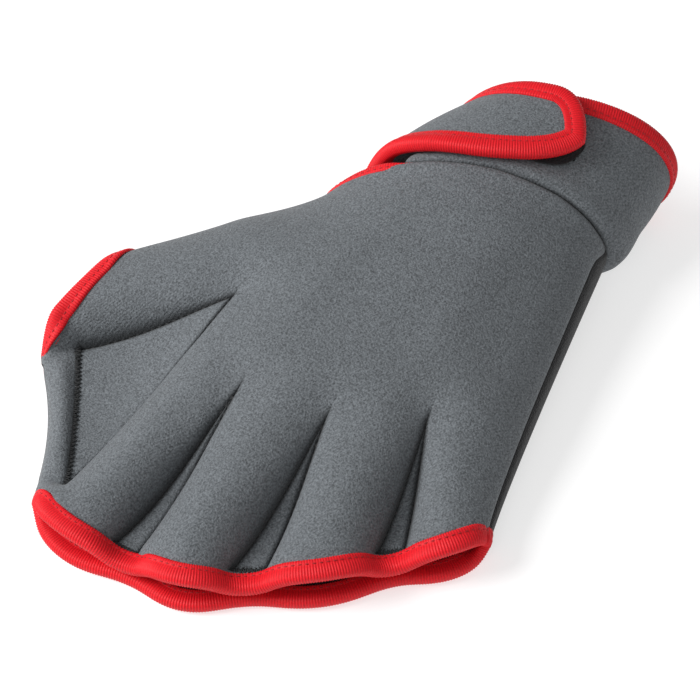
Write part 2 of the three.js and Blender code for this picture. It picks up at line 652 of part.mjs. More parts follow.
const back = handSheet(backHeight, CHANNEL_COLUMNS, true, GAP / 2, 1);
const palm = handSheet(palmHeight, PALM_CHANNEL_COLUMNS, false, -GAP / 2, -1);
addPiece("back_panel", back.thicken(WALL), NEOPRENE);
addPiece("palm_panel", palm.thicken(WALL), PALM);
["thumb_web", "index_web", "middle_web", "ring_web"].forEach((name, i) =>
  addPiece(name, webSheet(i + 1, i === 0 ? FOLD_COLUMNS : WEB_COLUMNS + 1).thicken(WALL), NEOPRENE),
);

function rimBinding(strips) {
  const over = stopsOf(back, edgeMarks(strips, CHANNEL_COLUMNS, LAST_ROW, TAPE_ROW));
  const under = stopsOf(palm, edgeMarks(strips, PALM_CHANNEL_COLUMNS, LAST_ROW, TAPE_ROW));
  return bindingGeometry([...over, ...under.reverse()], WALL, true);
}
addPiece("finger_binding", rimBinding([2, 3, 4, 5, 6, 7, 8]), TAPE_RED);
addPiece("thumb_binding", rimBinding([0]), TAPE_RED);

const slitStops = stopsOf(back, edgeMarks([0, 2], CHANNEL_COLUMNS, 0, 1).slice(1)).map(([edge, inside]) => {
  const share = SLIT_TAPE_WIDTH / edge.p.distanceTo(inside.p);
  const normal = edge.normal.clone().lerp(inside.normal, share).normalize();
  return [edge, { p: edge.p.clone().lerp(inside.p, share), normal }];
});
addPiece("slit_binding", bindingGeometry(slitStops, WALL), TAPE_RED);

const cuff = cuffSheet(cuffRows, (i, j) => [
  ...(i === 0 ? [seamDirection] : []),
  ...(j === CUFF_COLUMNS ? [UP] : []),
]);
const strap = cuffSheet(strapRows, (i, j) => (j === 0 ? [UP] : []));
addPiece("cuff", cuff.thicken(CUFF_WALL), NEOPRENE);
addPiece("cuff_binding", bindingGeometry(stopsOf(cuff, cuffMarks), CUFF_WALL), TAPE_RED);
addPiece("strap", strap.thicken(STRAP_WALL), NEOPRENE);
addPiece("strap_binding", bindingGeometry(stopsOf(strap, strapMarks), STRAP_WALL), TAPE_RED);
addPiece("hook_patch", cuffSheet(hookRows).thicken(HOOK_THICKNESS), HOOK_BLACK);

// The origin is the middle of the bounding box's bottom.
const box = new THREE.Box3().setFromObject(glove);
glove.position.set(-(box.min.x + box.max.x) / 2, -(box.min.y + box.max.y) / 2, -box.min.z);

export default glove;
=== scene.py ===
"""Looks of a left-hand webbed swim glove, laid palm down: sewn neoprene, ribbed edge tape and stitching.

+X points to the little finger side, +Y to the wrist, +Z up. Sizes here are in millimetres, meshes in metres.
"""

import math
import random
from functools import lru_cache, partial
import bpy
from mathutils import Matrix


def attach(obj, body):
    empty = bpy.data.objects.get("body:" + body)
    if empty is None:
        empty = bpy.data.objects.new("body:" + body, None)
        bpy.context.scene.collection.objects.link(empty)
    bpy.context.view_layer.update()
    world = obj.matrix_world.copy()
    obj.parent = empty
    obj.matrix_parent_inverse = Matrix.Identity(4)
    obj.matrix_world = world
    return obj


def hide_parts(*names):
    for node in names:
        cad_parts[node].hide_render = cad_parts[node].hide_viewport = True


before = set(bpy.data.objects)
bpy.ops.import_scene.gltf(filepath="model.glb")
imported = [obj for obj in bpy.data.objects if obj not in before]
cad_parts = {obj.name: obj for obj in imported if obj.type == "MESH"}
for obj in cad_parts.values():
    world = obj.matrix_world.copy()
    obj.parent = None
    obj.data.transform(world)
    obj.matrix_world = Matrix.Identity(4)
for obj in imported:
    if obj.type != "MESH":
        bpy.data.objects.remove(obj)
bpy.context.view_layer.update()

from types import SimpleNamespace

import bmesh
import bpy
from bpy.props import FloatProperty, FloatVectorProperty, PointerProperty
from mathutils import Matrix, Vector, noise

bl_info = {
    "name": "Webbed Swim Glove",
    "version": (1, 0, 0),
    "blender": (4, 5, 0),
    "location": "View3D > Sidebar > Swim Glove",
    "description": "Builds a webbed neoprene swim glove with ribbed edge tape",
    "category": "Add Mesh",
}

MM = 0.001
# The frame's origin is the middle of the glove's footprint. This is where the plan's origin lies in it.
PLAN_ORIGIN = Vector((2.387, 5.237, 0.150))
UP = Vector((0, 0, 1))

# Sizes of the hand.
HAND_SPAN = 148
HAND_LENGTH = 165
BACK_HEIGHT = 44
WALL = 2.2
APEX_DIMPLE = 4
SEAM_SINK = 3
HEM = 7.5
FOLD_WIDTH = 10.5
FOLD_INSET = 2.6
FOLD_ROLL = 2.6
DIMPLE_SOFTNESS = 7
CORNER_SOFTNESS = 0.6
TAPE_WIDTH = 5.2
GAP = 0.3
RIM_LIFT = 1.4

# Sizes of the cuff, the strap and the hook patch. Angles run round the cuff from the radial side.
CUFF_LENGTH = 47
CUFF_WIDTH = 63
CUFF_CENTRE = 0.201
CUFF_HEIGHT = 46.5
CUFF_SIDE = 19.5
CUFF_LIFT = 1.6
CUFF_SLANT = 0.26
CUFF_BOW = 0.04
CUFF_WAIST = 1.5
CUFF_BELLY = 2.5
CUFF_CORNER = 15
CUFF_WALL = 2.6
CUFF_START = math.radians(60)
STRAP_WALL = 2.6
STRAP_LIFT = 3.2
STRAP_BULGE = 2.2
STRAP_RISE = math.radians(80)
STRAP = SimpleNamespace(
    lower=0.05,
    root_lower=0.22,
    upper=0.93,
    straight=math.radians(84),
    tip=math.radians(113.5),
    upper_taper=2,
    # Shares of STRAP_RISE: where it bulges most, and where its lower side starts to widen.
    round=0.4,
    widening=0.3,
)
HOOK = SimpleNamespace(
    start=math.radians(84),
    end=math.radians(117),
    lower=0.17,
    upper=0.62,
    thickness=1.2,
    roundness=3.5,
    fuzz=0.5,
    fuzz_size=1.5,
)

# Plan of the hand, as shares of HAND_SPAN (first) and HAND_LENGTH (second) from a point under the knuckles.
SEAM_RADIAL = (-0.175, 0.202)
SEAM_ULNAR = (0.385, 0.352)
SEAM_BOW = 0.024
SEAM_SHARES = (0, 0.14, 0.34, 0.57, 0.81, 1)
# The radial edge, the four places where a web starts, and the ulnar edge.
KNUCKLES = (
    (-0.331, 0.082),
    (-0.203, -0.103),
    (-0.078, -0.282),
    (0.105, -0.258),
    (0.274, -0.167),
    (0.445, -0.085),
)
# Both ends of each finger channel's rim, and how far it bows out between them.
RIMS = (
    SimpleNamespace(ends=((-0.481, -0.066), (-0.518, -0.318)), bow=0.01),
    SimpleNamespace(ends=((-0.339, -0.597), (-0.129, -0.638)), bow=0.15),
    SimpleNamespace(ends=((-0.066, -0.635), (0.099, -0.594)), bow=0.17),
    SimpleNamespace(ends=((0.156, -0.56), (0.331, -0.438)), bow=0.1),
    SimpleNamespace(ends=((0.372, -0.402), (0.484, -0.287)), bow=0.13),
)
# Both ends of the zigzag seam that ends each web.
ZIGZAGS = (
    ((-0.455, -0.278), (-0.295, -0.548)),
    ((-0.148, -0.603), (-0.095, -0.605)),
    ((0.08, -0.556), (0.139, -0.527)),
    ((0.307, -0.405), (0.35, -0.372)),
)
FOLD = ((-0.505, -0.334), (-0.355, -0.561))
# Heights of each channel as shares of BACK_HEIGHT, at the wrist, the knuckle and the rim.
CRESTS = ((1, 0.72, 0.5), (1, 0.7, 0.36), (1, 0.7, 0.36), (1, 0.66, 0.36), (1, 0.6, 0.36))
SIDES = ((0.36, 0.27, 0.17), (0.36, 0.22, 0.15), (0.36, 0.2, 0.15), (0.34, 0.2, 0.15), (0.34, 0.2, 0.15))
WEB_RIM_HEIGHTS = (0.255, 0.21, 0.21, 0.21)
ROUNDING = SimpleNamespace(channel=0.091, knuckle=0.17, palm_wrist=0.11, palm_rim=0.044)

# Rows run from the wrist seam (0) over the knuckles to the rim. The edge tape reaches in to TAPE_ROW.
KNUCKLE_ROW = 6
ZIGZAG_ROW = 13
TAPE_ROW = 15
LAST_ROW = 16
ROW_MARKS = (0, KNUCKLE_ROW, ZIGZAG_ROW, TAPE_ROW, LAST_ROW)

# Radii of the threads, and the pitch and reach of the zigzags at the thumb's web and at the others.
TAPE_THREAD = 0.21
ZIGZAG_THREAD = 0.33
LOOSE_FIBRE = 0.13
FIBRE_LENGTH = 0.9
SIDE_THREAD = 0.27
SIDE_PITCH = 2.3
SIDE_SINK = 0.95
THUMB_ZIGZAG = (1.5, 1.25)
FINGER_ZIGZAG = (1.2, 1.0)

# Sewn detail that only shows here, with the widths of the painted shade along its seams.
LAST_STRIP = 2 * len(RIMS) - 2
SEAM_GROOVE = 1.5
SEAM_GROOVE_WIDTH = 2.2
# How far the painted shade reaches from the seams: on the back and cuff, and on the webs.
PAINTED_SHADE_WIDTH = 1.2
WEB_PAINTED_SHADE_WIDTH = 1.8
WEB_LAP = 1.2
WRIST_LIP = 0.8
WRIST_LIP_WIDTH = 6
WRIST_ROLL = 1.7
# The lip and the roll run out this far from the little finger side.
WRIST_LIP_END = 8
WRIST_ROLL_END = 4
# The cuff rolls down at the wrist seam. Beyond it are a ridge on the back and a heel on the ulnar side, each
# with its height, the distances from the seam where it rises and falls, and the angles where it does.
CUFF_ROLL = SimpleNamespace(depth=1.3, width=1.5)
CUFF_RIDGE = SimpleNamespace(height=1.1, rise=(0, 3), fall=(11, 3), far=(math.pi, 0.83 * math.pi))
CUFF_HEEL = SimpleNamespace(
    height=2,
    rise=(0, 4),
    fall=(18, 5),
    near=(0.8 * math.pi, 1.02 * math.pi),
    far=(1.25 * math.pi, 1.05 * math.pi),
)
CUFF_CALM = (10, 8)
CUFF_UNEVENNESS_SIZE = 13
# The palm wraps up round the little finger side by this much, at the wrist and at the rim.
PALM_WRAP = (1.5, 0.85)
# The back and the wrap turn in by this much where they meet.
BACK_SEAM_STEP = Vector((0.45, 0, 0.55))
WRAP_SEAM_STEP = Vector((0.45, 0, 0.3))
WEB_SINK = 0.25
WEB_LAP_SINK = 0.5
RIM_SMOOTHING = 3.4
UNEVENNESS = 0.35
UNEVENNESS_SIZE = 19
# The unevenness fades this far from the edges.
CALM_EDGE = 12


def swatch(name, description, default):
    return FloatVectorProperty(
        name=name, description=description, subtype="COLOR", default=default, min=0, max=1
    )


def measure(name, description, default, least=0):
    return FloatProperty(
        name=name, description=description, subtype="DISTANCE", unit="LENGTH", default=default, min=least
    )


class GloveSettings(bpy.types.PropertyGroup):
    """Sizes and colours of the glove's cloth, tape and thread."""

    neoprene_colour: swatch("Neoprene", "Knit facing of back, webs, cuff and strap", (0.113, 0.124, 0.134))
    palm_colour: swatch("Palm", "Colour of the palm's facing", (0.008, 0.008, 0.009))
    tape_colour: swatch("Edge tape", "Colour of the ribbed tape round each edge", (0.66, 0.007, 0.014))
    tape_thread_colour: swatch("Tape thread", "Stitches along the edge tape", (0.34, 0.005, 0.009))
    seam_thread_colour: swatch("Seam thread", "Stitches of the webs' seams", (0.012, 0.013, 0.014))
    hook_colour: swatch("Hook patch", "Colour of the hook tape under the strap", (0.006, 0.006, 0.007))
    grain_size: measure("Knit grain", "Size of the knit facing's grain", 0.0006, 0.0001)
    rib_pitch: measure("Rib pitch", "Distance between the ribs across the edge tape", 0.00082, 0.0003)
    rib_depth: measure("Rib depth", "How far the ribs stand out", 0.00011)
    stitch_pitch: measure("Stitch pitch", "Distance between stitches along the tape", 0.0021, 0.0005)


def lerp(a, b, t):
    return a + (b - a) * t


def clamp(x, low, high):
    return min(max(x, low), high)


def smooth(t):
    s = clamp(t, 0, 1)
    return s * s * (3 - 2 * s)


def between(low, high, x):
    return smooth((x - low) / (high - low))


def round_over(distance, reach):
    """A quarter circle's rise: 0 at an edge, 1 from reach inwards."""
    t = clamp(distance / reach, 0, 1)
    return math.sqrt(1 - (1 - t) ** 2)


def in_frame(x, y, z):
    """A point of the plan, in millimetres, as a point of the frame, in metres."""
    return (Vector((x, y, z)) + PLAN_ORIGIN) * MM


def plan(share):
    return Vector((share[0] * HAND_SPAN, share[1] * HAND_LENGTH))


def seam_point(share):
    """A point of the wrist seam, at a share of the way from the radial to the ulnar side."""
    p = plan(SEAM_RADIAL).lerp(plan(SEAM_ULNAR), share)
    p.y += SEAM_BOW * HAND_LENGTH * 4 * share * (1 - share)
    return p


def quadratic(v):
    """Weights of three values at 0, 1 and 2 on the curve through them, at v."""
    return (v - 1) * (v - 2) / 2, v * (2 - v), v * (v - 1) / 2


def make_border(channel, side):
    """A channel's border: its corners, or a curve, and v there, from 0 at the wrist to 2 at the rim."""
    i = channel + side
    wrist = seam_point(SEAM_SHARES[i])
    knuckle = plan(KNUCKLES[i])
    rim = plan(RIMS[channel].ends[side])
    if i in (0, len(KNUCKLES) - 1):
        length = (rim - knuckle).length
        steps = (0, 1, 2 - HEM / length, 2 - TAPE_WIDTH / length, 2)
        return SimpleNamespace(curve=(wrist, knuckle, rim), points=None, vs=steps)
    zigzag = plan(ZIGZAGS[i - 1][1 - side])
    tape = rim.lerp(zigzag, TAPE_WIDTH / (zigzag - rim).length)
    if i == 1:
        tape = plan(FOLD[1 - side])
    points = (wrist, knuckle, zigzag, tape, rim)
    runs = [(b - a).length for a, b in zip(points[1:], points[2:])]
    steps = [1 + sum(runs[:k]) / sum(runs) for k in range(len(runs) + 1)]
    return SimpleNamespace(curve=None, points=points, vs=(0, *steps))


BORDERS = [[make_border(channel, side) for side in (0, 1)] for channel in range(len(RIMS))]


@lru_cache(maxsize=None)
def border_at(channel, side, row):
    """The place of a border at a row, and v there."""
    border = BORDERS[channel][side]
    k = next((i for i, mark in enumerate(ROW_MARKS) if mark >= row), len(ROW_MARKS) - 1)
    k = clamp(k - 1, 0, len(ROW_MARKS) - 2)
    share = (row - ROW_MARKS[k]) / (ROW_MARKS[k + 1] - ROW_MARKS[k])
    v = lerp(border.vs[k], border.vs[k + 1], share)
    if border.points:
        return border.points[k].lerp(border.points[k + 1], share), v
    p = Vector((0, 0))
    for weight, corner in zip(quadratic(v), border.curve):
        p += weight * corner
    return p, v


def segment_distance(p, start, end):
    side = end - start
    t = clamp((p - start).dot(side) / side.length_squared, 0, 1)
    return (p - start - side * t).length


@lru_cache(maxsize=None)
def row_spans(row):
    """Widths across a row of channel, web, channel and so on, from the radial side."""
    spans = []
    for channel in range(len(RIMS)):
        left, right = (border_at(channel, side, row)[0] for side in (0, 1))
        if channel:
            spans.append((left - border_at(channel - 1, 1, row)[0]).length)
        spans.append((right - left).length)
    return tuple(spans)


def along(values, v):
    return BACK_HEIGHT * sum(weight * value for weight, value in zip(quadratic(v), values))


def channel_height(table, channel, t, v):
    """Crest or side height, shared between channels at the wrist and each channel's own at the rim."""
    q = lerp(channel + t, channel + 0.5, smooth(v - 1)) - 0.5
    low = clamp(math.floor(q), 0, len(table) - 1)
    high = clamp(low + 1, 0, len(table) - 1)
    return lerp(along(table[low], v), along(table[high], v), smooth(q - low))


def web_distance(web, p):
    """Distance from a plan point to the two side seams of a web, counted from 1."""
    seams = (BORDERS[web - 1][1].points, BORDERS[web][0].points)
    return min(segment_distance(p, seam[k], seam[k + 1]) for seam in seams for k in (1, 2, 3))


def corner_distance(border, p):
    return segment_distance(p, border.points[3], border.points[4])


@lru_cache(maxsize=None)
def place_of(strip, t, row):
    """A place on the hand. Even strips are the finger channels, thumb first, and odd ones the webs."""
    is_web = strip % 2 == 1
    channels = ((strip - 1) // 2, (strip + 1) // 2) if is_web else (strip // 2, strip // 2)
    ends = [border_at(channel, 1 - k if is_web else k, row) for k, channel in enumerate(channels)]
    v = lerp(ends[0][1], ends[1][1], t)
    p = ends[0][0].lerp(ends[1][0], t)

    def level(table):
        if not is_web:
            return channel_height(table, channels[0], t, v)
        return lerp(channel_height(table, channels[0], 1, v), channel_height(table, channels[1], 0, v), t)

    spans = row_spans(row)
    width = sum(spans)
    from_radial = sum(spans[:strip]) + spans[strip] * t
    outward = ends[1][0] - ends[0][0]
    outward = Vector((outward.y, -outward.x))
    hump = 4 * t * (1 - t)
    thumb, index = BORDERS[0][1], BORDERS[1][0]
    from_fold = math.inf
    if not is_web and v > 1:
        p = p + outward * RIMS[channels[0]].bow * hump * (v - 1) ** 2
    if strip == 0:
        from_fold = corner_distance(thumb, p)
    if strip == 2:
        from_fold = corner_distance(index, p)
    if strip == 1 and row >= ZIGZAG_ROW:
        from_fold = lerp(corner_distance(thumb, ends[0][0]), corner_distance(index, ends[1][0]), t)
        p = p - outward.normalized() * FOLD_INSET * hump * between(1.5 * FOLD_WIDTH, 0, from_fold)
    return SimpleNamespace(
        strip=strip,
        t=t,
        row=row,
        p=p,
        v=v,
        crest=level(CRESTS),
        side=level(SIDES),
        from_radial=from_radial,
        from_ulnar=width - from_radial,
        from_fold=from_fold,
        width=width,
    )


def edge_rounding(place, reach):
    return (
        round_over(place.from_radial, reach)
        * round_over(place.from_ulnar, reach)
        * round_over(place.from_fold, FOLD_WIDTH)
    )


def pinch(place, web):
    """How far a web pinches the surface here: 1 on its seams, 0 a channel's half width away."""
    softness = lerp(DIMPLE_SOFTNESS, CORNER_SOFTNESS, between(0.9, 1.25, place.v))
    distance = 0 if place.strip == 2 * web - 1 else web_distance(web, place.p)
    return 1 - round_over(math.hypot(distance, softness) - softness, ROUNDING.channel * HAND_SPAN)


def back_height(place):
    """Outer surface of the back: height over the table."""
    v = place.v
    channel_reach = ROUNDING.channel * HAND_SPAN
    knuckle_reach = ROUNDING.knuckle * HAND_SPAN
    if v <= 1:
        reach = lerp(place.width / 2, knuckle_reach, smooth(v))
    else:
        reach = lerp(knuckle_reach, channel_reach, smooth(v - 1))
    w = clamp(v - 1, 0, 1)
    sink = SEAM_SINK * math.sin(math.pi * w)
    drops = [
        lerp(APEX_DIMPLE, place.crest - height * BACK_HEIGHT, smooth(w)) + sink for height in WEB_RIM_HEIGHTS
    ]
    sunk = sum(pinch(place, i + 1) * drop for i, drop in enumerate(drops))
    rise = place.crest - place.side - min(sunk, max(drops))
    z = place.side + edge_rounding(place, reach) * rise
    if place.strip == 1 and place.row > ZIGZAG_ROW:
        roll = FOLD_ROLL * math.sin(math.pi * place.from_fold / FOLD_WIDTH)
        z += roll * round_over(min(place.t, 1 - place.t), 0.3)
    return z


def palm_height(place):
    """Outer surface of the palm: height over the table, 0 where it lies flat."""
    reach = lerp(ROUNDING.palm_wrist, ROUNDING.palm_rim, place.v / 2) * HAND_SPAN
    edge = edge_rounding(place, reach)
    return place.side * (1 - edge) + RIM_LIFT * between(1.55, 1.9, place.v) * edge


def web_seam_distance(place):
    """Distance from a place to the nearest seam between a finger channel and its web panels."""
    seams = [border.points for pair in BORDERS for border in pair if border.points]
    return min(segment_distance(place.p, points[1], points[2]) for points in seams)


def uneven(p, size=UNEVENNESS_SIZE):
    """Soft unevenness of laid cloth, in millimetres."""
    return UNEVENNESS * noise.noise(Vector(p) / size)


def groove(distance):
    return SEAM_GROOVE * (1 - round_over(distance, SEAM_GROOVE_WIDTH))


def from_wrist(place):
    """Distance from a place to the wrist seam, or infinity beyond the knuckles."""
    if place.row >= KNUCKLE_ROW:
        return math.inf
    return (place.p - place_of(place.strip, place.t, 0).p).length


def raw_back_point(strip, t, row):
    """The back's visible surface, with its web seams, wrist lip and soft unevenness."""
    place = place_of(strip, t, row)
    z = back_height(place) + GAP / 2
    inner = between(0, CALM_EDGE, min(place.from_radial, place.from_ulnar, place.from_fold))
    z += inner * uneven((place.p.x, place.p.y, z)) * between(2, 1.7, place.v)
    if row > KNUCKLE_ROW - 1 and row <= ZIGZAG_ROW:
        z -= groove(web_seam_distance(place))
    from_seam = from_wrist(place)
    lip = WRIST_LIP * between(WRIST_LIP_WIDTH, WRIST_ROLL, from_seam)
    roll = WRIST_ROLL * (1 - round_over(from_seam, WRIST_ROLL))
    z += lip * between(0, WRIST_LIP_END, place.from_ulnar)
    z -= roll * between(0, WRIST_ROLL_END, place.from_ulnar)
    return Vector((place.p.x, place.p.y, z))


def raw_palm_point(strip, t, row):
    place = place_of(strip, t, row)
    return Vector((place.p.x, place.p.y, palm_height(place) - GAP / 2))


def runs_along(points):
    """The length run at each point of a path."""
    runs = [0]
    for a, b in zip(points, points[1:]):
        runs.append(runs[-1] + (b - a).length)
    return runs


@lru_cache(maxsize=None)
def smoothed_row(point, row):
    """A row across the hand, smoothed towards the rim, as points by strip and t."""
    first = 0 if row <= TAPE_ROW else 2
    keys = [(strip, t) for strip in range(first, LAST_STRIP + 1) for t in strip_steps(strip)]
    points = [point(strip, t, row) for strip, t in keys]
    reach = RIM_SMOOTHING * between(ZIGZAG_ROW - 1, TAPE_ROW, row)
    span = 3 * reach
    runs = runs_along(points)
    # Turned copies past both ends keep the ends where they are.
    length = runs[-1]
    known = list(zip(runs, points))
    before = [(-run, 2 * points[0] - p) for run, p in known if 0 < run < span]
    after = [(2 * length - run, 2 * points[-1] - p) for run, p in known if run > length - span]
    known = sorted([*before, *known, *after], key=lambda pair: pair[0])
    # Samples count by the length they stand for, so dense columns weigh no more than sparse ones.
    stops = [known[0][0], *(run for run, _ in known), known[-1][0]]
    shares = [(high - low) / 2 for low, high in zip(stops, stops[2:])]
    smoothed = {}
    for key, run in zip(keys, runs):
        total, weight_sum = Vector((0, 0, 0)), 0
        for (other, p), share in zip(known, shares):
            if abs(other - run) < span:
                weight = share * math.exp(-0.5 * ((other - run) / reach) ** 2)
                total += weight * p
                weight_sum += weight
        smoothed[key] = total / weight_sum
    return smoothed


def seam_share(row):
    """How far across the last strip the back reaches before the palm's wrap begins."""
    v = border_at(len(RIMS) - 1, 1, row)[1]
    wrap = lerp(*PALM_WRAP, v / 2) * lerp(0.25, 1, between(0, 0.6, row))
    return 1 - wrap / row_spans(row)[LAST_STRIP]


def trimmed_back_point(strip, t, row):
    """The back's surface, which ends at the palm's wrap on the little finger side."""
    if strip < LAST_STRIP:
        return raw_back_point(strip, t, row)
    place = place_of(strip, t * seam_share(row), row)
    p = raw_back_point(strip, place.t, row)
    seam = place_of(strip, seam_share(row), row)
    return p - BACK_SEAM_STEP * (1 - round_over((seam.p - place.p).length, 1))


def smoothed_point(point, strip, t, row):
    """A point of a sheet of the hand, smoothed along its row beyond the zigzag seams."""
    if row > ZIGZAG_ROW and (strip > 1 or row <= TAPE_ROW):
        return smoothed_row(point, row)[strip, t]
    return point(strip, t, row)


back_point = partial(smoothed_point, trimmed_back_point)
palm_point = partial(smoothed_point, raw_palm_point)


def wrap_point(share, row):
    """The palm's wrap up round the little finger side. Share runs from its seam to the edge."""
    t = 1 - (1 - seam_share(row)) * (1 - share) ** 2
    p = raw_back_point(LAST_STRIP, t, row)
    p.z -= GAP * share
    p -= WRAP_SEAM_STEP * (1 - between(0, 0.35, share))
    if row > ZIGZAG_ROW:
        end = (LAST_STRIP, 1, row)
        back_shift = back_point(*end) - trimmed_back_point(*end)
        palm_shift = palm_point(*end) - raw_palm_point(*end)
        p += back_shift.lerp(palm_shift, share)
    return p


def back_painted_shade(strip, t, row):
    """Painted shade in the back's seams: 1 in a seam, 0 a little way off."""
    place = place_of(strip, t * seam_share(row) if strip == LAST_STRIP else t, row)
    distance = from_wrist(place)
    if KNUCKLE_ROW - 1 < row <= ZIGZAG_ROW:
        distance = min(distance, web_seam_distance(place))
    return 1 - between(0, PAINTED_SHADE_WIDTH, distance)


def web_point(strip, column, row):
    """A web's visible surface. Columns under 0 and over 1 lap under the finger channels."""
    t = clamp(column, 0, 1)
    place = place_of(strip, t, row)
    width = max(row_spans(row)[strip], 1e-6)
    distance = min(t, 1 - t) * width
    z = back_height(place) + GAP / 2 - groove(distance) - WEB_SINK
    widest = ZIGZAG_ROW if row < KNUCKLE_ROW + 1 else row
    outward = (place_of(strip, 1, widest).p - place_of(strip, 0, widest).p).normalized()
    lap = clamp(column - t, -1, 1) * WEB_LAP
    if lap:
        z -= WEB_LAP_SINK
    p = place.p + outward * lap
    return Vector((p.x, p.y, z))


def web_painted_shade(strip, column, row):
    # Painted shade along the web's side seams: 1 on a seam, 0 a little way in.
    from_side = clamp(min(column, 1 - column), 0, 1) * row_spans(row)[strip]
    return 1 - between(0, WEB_PAINTED_SHADE_WIDTH, from_side)


def cuff_point(angle, f):
    """The cuff, from the wrist seam (f = 0) to its open edge (f = 1)."""
    u = (1 - math.cos(angle)) / 2
    on_back = angle <= math.pi
    channel = next((i for i, share in enumerate(SEAM_SHARES) if share >= u), len(RIMS))
    channel = clamp(channel - 1, 0, len(RIMS) - 1)
    low, high = SEAM_SHARES[channel : channel + 2]
    place = place_of(2 * channel, (u - low) / (high - low), 0)
    seam = Vector((place.p.x, place.p.y, back_height(place) if on_back else palm_height(place)))
    hump = 4 * u * (1 - u)
    corner = round_over(u * CUFF_WIDTH, CUFF_CORNER) * round_over((1 - u) * CUFF_WIDTH, CUFF_CORNER)
    rise = lerp(CUFF_SIDE, CUFF_HEIGHT, math.sqrt(max(hump, 0)))
    far_edge = Vector(
        (
            CUFF_CENTRE * HAND_SPAN + (u - 0.5) * CUFF_WIDTH,
            SEAM_RADIAL[1] * HAND_LENGTH + CUFF_LENGTH + (CUFF_SLANT * u - CUFF_BOW * hump) * CUFF_WIDTH,
            rise if on_back else lerp(CUFF_SIDE, CUFF_LIFT, corner),
        )
    )
    shift = CUFF_WAIST * (1 - u) ** 2 + CUFF_BELLY * u**2
    return seam.lerp(far_edge, f) + Vector((4 * f * (1 - f) * shift, 0, 0))


def over_cuff(angle, f, lift):
    """A point over the cuff, measured along the cuff's outward normal."""
    step = 0.01
    before, after = max(angle - step, 0), min(angle + step, 2 * math.pi)
    round_way = cuff_point(after, f) - cuff_point(before, f)
    lengthways = cuff_point(angle, 1) - cuff_point(angle, 0)
    return cuff_point(angle, f) + round_way.cross(lengthways).normalized() * lift


def ruling(angle):
    return (cuff_point(angle, 1) - cuff_point(angle, 0)).length


def swelling(form, from_seam):
    return form.height * between(*form.rise, from_seam) * between(*form.fall, from_seam)


def cuff_surface(angle, f):
    """The cuff's visible surface: it rolls down at the wrist seam and is a little uneven."""
    from_seam = f * ruling(angle)
    from_tape = (1 - f) * ruling(angle)
    lift = uneven(over_cuff(angle, f, 0), CUFF_UNEVENNESS_SIZE)
    lift *= between(0, CUFF_CALM[0], from_seam) * between(0, CUFF_CALM[1], from_tape)
    lift -= CUFF_ROLL.depth * (1 - round_over(from_seam, CUFF_ROLL.width))
    if angle < math.pi:
        lift += swelling(CUFF_RIDGE, from_seam) * between(*CUFF_RIDGE.far, angle)
    around = between(*CUFF_HEEL.near, angle) * between(*CUFF_HEEL.far, angle)
    return over_cuff(angle, f, lift + swelling(CUFF_HEEL, from_seam) * around)


def cuff_painted_shade(angle, f):
    # Painted shade along the wrist seam, on the part of the cuff over the back.
    return (1 - between(0, PAINTED_SHADE_WIDTH, f * ruling(angle))) if angle < math.pi else 0


def over_strap(angle, f):
    lift = (STRAP_LIFT + STRAP_WALL) * between(0, STRAP_RISE, angle)
    middle = STRAP.round * STRAP_RISE
    around = between(0, middle, angle) * between(STRAP_RISE, middle, angle)
    p = over_cuff(angle, f, lift + STRAP_BULGE * around * (4 * f * (1 - f)) ** 2)
    p.z += GAP
    return p


def strap_point(s, w):
    """The strap: s runs from its root to the tip's start (1) and end (2), w from edge to edge."""
    middle, half = (STRAP.lower + STRAP.upper) / 2, (STRAP.upper - STRAP.lower) / 2
    side, reach = math.copysign(1, w), abs(w)
    if s <= 1:
        angle = s * STRAP.straight
        from_root = between(STRAP.widening * STRAP_RISE, STRAP_RISE, angle)
        edge = lerp(STRAP.root_lower, STRAP.lower, from_root) if side < 0 else STRAP.upper
        return over_strap(angle, lerp(middle, edge, reach))
    turn = (s - 1) * math.pi / 2
    taper = 1 if side < 0 else STRAP.upper_taper
    angle = STRAP.straight + reach * (STRAP.tip - STRAP.straight) * math.sin(turn)
    return over_strap(angle, middle + side * reach * half * max(math.cos(turn), 0) ** taper)


def hook_point(share, across):
    """The hook patch, which has a round end: share runs along it, and across from -1 to 1."""
    angle = lerp(HOOK.start, HOOK.end, share)
    half = (HOOK.upper - HOOK.lower) / 2 * max(1 - share**HOOK.roundness, 0) ** (1 / HOOK.roundness)
    f = (HOOK.upper + HOOK.lower) / 2 + across * half
    fuzz = HOOK.fuzz * uneven(over_cuff(angle, f, 0), HOOK.fuzz_size)
    return over_cuff(angle, f, GAP + HOOK.thickness + fuzz)


def settings():
    return bpy.context.scene.swim_glove


def even_steps(start, end, count):
    return [lerp(start, end, i / count) for i in range(count + 1)]


def edge_steps(count):
    """Steps from 0 to 1 that are closer together at both ends."""
    return [(1 - math.cos(math.pi * i / count)) / 2 for i in range(count + 1)]


def add_patch(bm, columns, rows, point, painted_shade=None):
    """Adds a grid whose point at a column and a row is point(column, row), in millimetres of the plan."""
    shade = bm.verts.layers.float.get("painted_shade") or bm.verts.layers.float.new("painted_shade")
    made = bmesh.ops.create_grid(bm, x_segments=len(columns) - 1, y_segments=len(rows) - 1, size=0.5)
    for vert in made["verts"]:
        column = columns[round((vert.co.x + 0.5) * (len(columns) - 1))]
        row = rows[round((vert.co.y + 0.5) * (len(rows) - 1))]
        vert.co = in_frame(*point(column, row))
        # Each vertex keeps the painted shade of the seams, which darkens the knit colour.
        if painted_shade:
            vert[shade] = painted_shade(column, row)


def add_object(name, data):
    thing = bpy.data.objects.new(name, data)
    bpy.context.scene.collection.objects.link(thing)
    return thing


